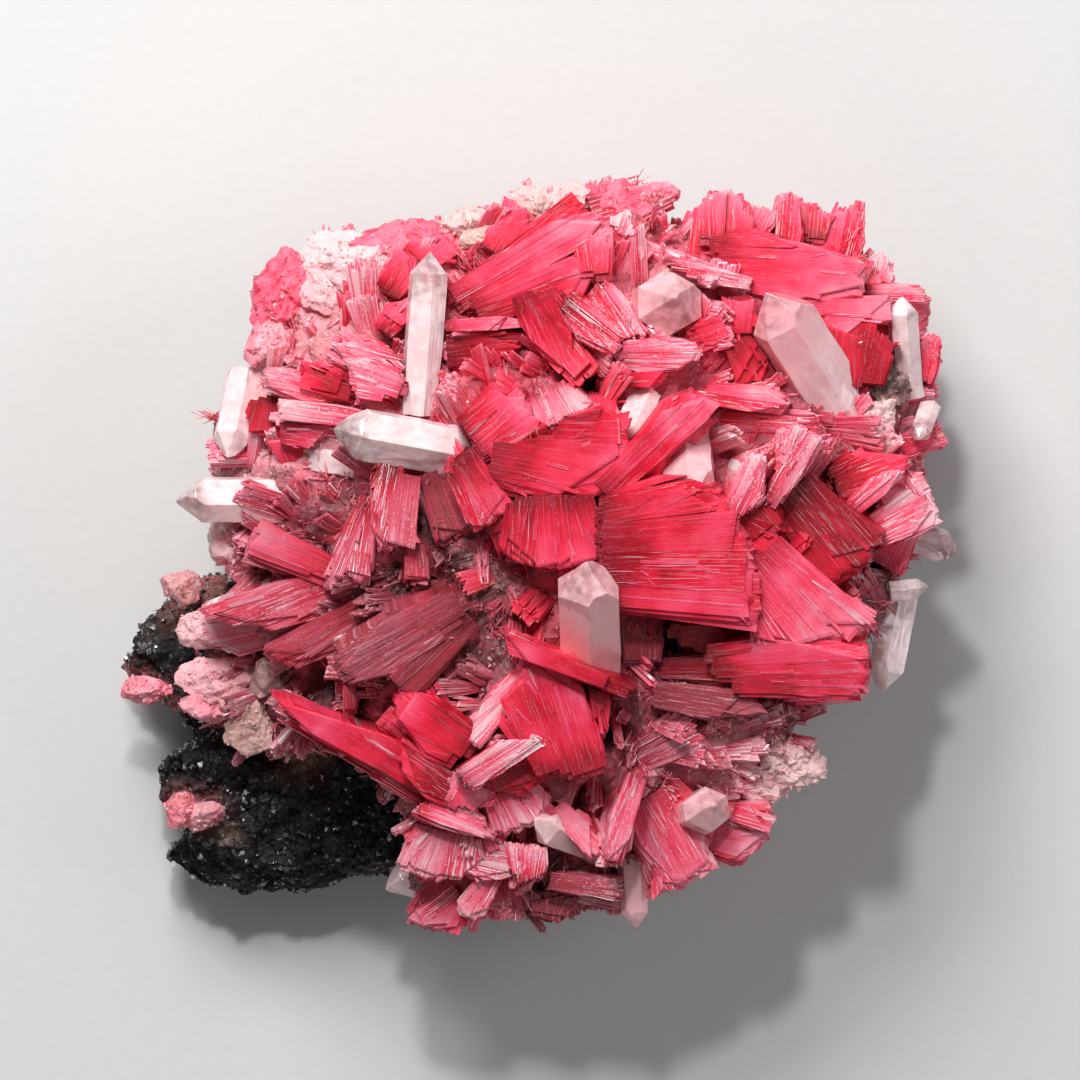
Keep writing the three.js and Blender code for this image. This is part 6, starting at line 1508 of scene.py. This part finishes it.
draw = np.random.default_rng(8)
wall = np.repeat(along_outline(CRUST_OUTLINE, WALL_GROUPS // 3), 3, axis=0)
wall = wall + draw.normal(0, 0.5, (WALL_GROUPS, 2))
level = draw.uniform(0, 1, WALL_GROUPS)
top = dome(wall[:, 0], wall[:, 1]) - WALL_TOP
height = WALL_FOOT + level * (top - WALL_FOOT)
drawn_in = np.interp(level, [0, 0.4, 1.0], [0.86, 0.92, 0.93])
plan = CRUST_MIDDLE + (wall - CRUST_MIDDLE) * drawn_in[:, None]
root = np.concatenate([plan, height[:, None]], axis=1)
heading = np.arctan2(plan[:, 1] - 1, plan[:, 0] - 2) + draw.normal(0, 0.35, WALL_GROUPS)
rise = np.radians(draw.normal(8, 20, WALL_GROUPS))
length = draw.uniform(1.8, 3.6, WALL_GROUPS)
make_laths("wall_groups", small_fans(root, heading, rise, length, tone_at(plan[:, 0], plan[:, 1]), draw))


# The druse: tufts of fine needles that fill the seams between the groups, thickest in the mauve parts.
NEEDLE_SECTION = np.array([(-1, 0), (0, -1), (1, 0), (0, 1)], float)
NEEDLE_STATIONS = np.array([(0, 1, 1), (0.9, 0.8, 0.8), (1, 0.3, 0.3)], float)
TUFT_STEP = 1.8  # how far apart the tufts grow, in millimetres
TUFT_NEEDLES = 12
TUFT_SPREAD = 0.45
TUFT_SUNK = 0.6


def tuft_laths(root, axis, length, width, tone, draw):
    """Small laths in tufts. Every lath starts near its tuft's root and leans off the tuft's axis by
    a random amount, with a random turn about its own length."""
    each = (np.repeat(values, TUFT_NEEDLES, axis=0) for values in (root, axis, length, width, tone))
    root, axis, length, width, tone = each
    count = len(root)
    along = unit(axis + draw.normal(0, 1, (count, 3)) * TUFT_SPREAD)
    start = root + draw.normal(0, 0.35, (count, 3)) - along * TUFT_SUNK
    tip = start + along * (length * draw.uniform(0.45, 1.1, count))[:, None]
    side = unit(np.cross(along, unit(draw.normal(0, 1, (count, 3)))))
    wide = (width * draw.uniform(0.6, 1.4, count))[:, None]
    tones = np.clip(tone + draw.normal(0, 1, (count, 1)) * (0.12, 0.1, 0.12), 0, 1)
    parts = [start, tip, side, np.cross(along, side), wide * 0.8, wide, wide * 0.5, 0 * wide, tones]
    return np.concatenate(parts, axis=1)


draw = np.random.default_rng(9)
x, y = scattered(TUFT_STEP, draw)
kept = draw.uniform(0, 1, len(x)) < 0.25 + 1.3 * tone_at(x, y)[:, 1]
x, y = x[kept], y[kept]
outward = unit(np.stack([x - CRUST_MIDDLE[0], y - CRUST_MIDDLE[1], np.full_like(x, 26.0)], axis=1))
axis = unit(outward + draw.normal(0, 0.45, (len(x), 3)))
length = draw.uniform(1.4, 3.0, len(x))
width = draw.uniform(0.14, 0.3, len(x))
needles = tuft_laths(crust_roots(x, y, TUFT_SUNK), axis, length, width, tone_at(x, y), draw)
make_laths("needle_druse", needles, NEEDLE_SECTION, NEEDLE_STATIONS)
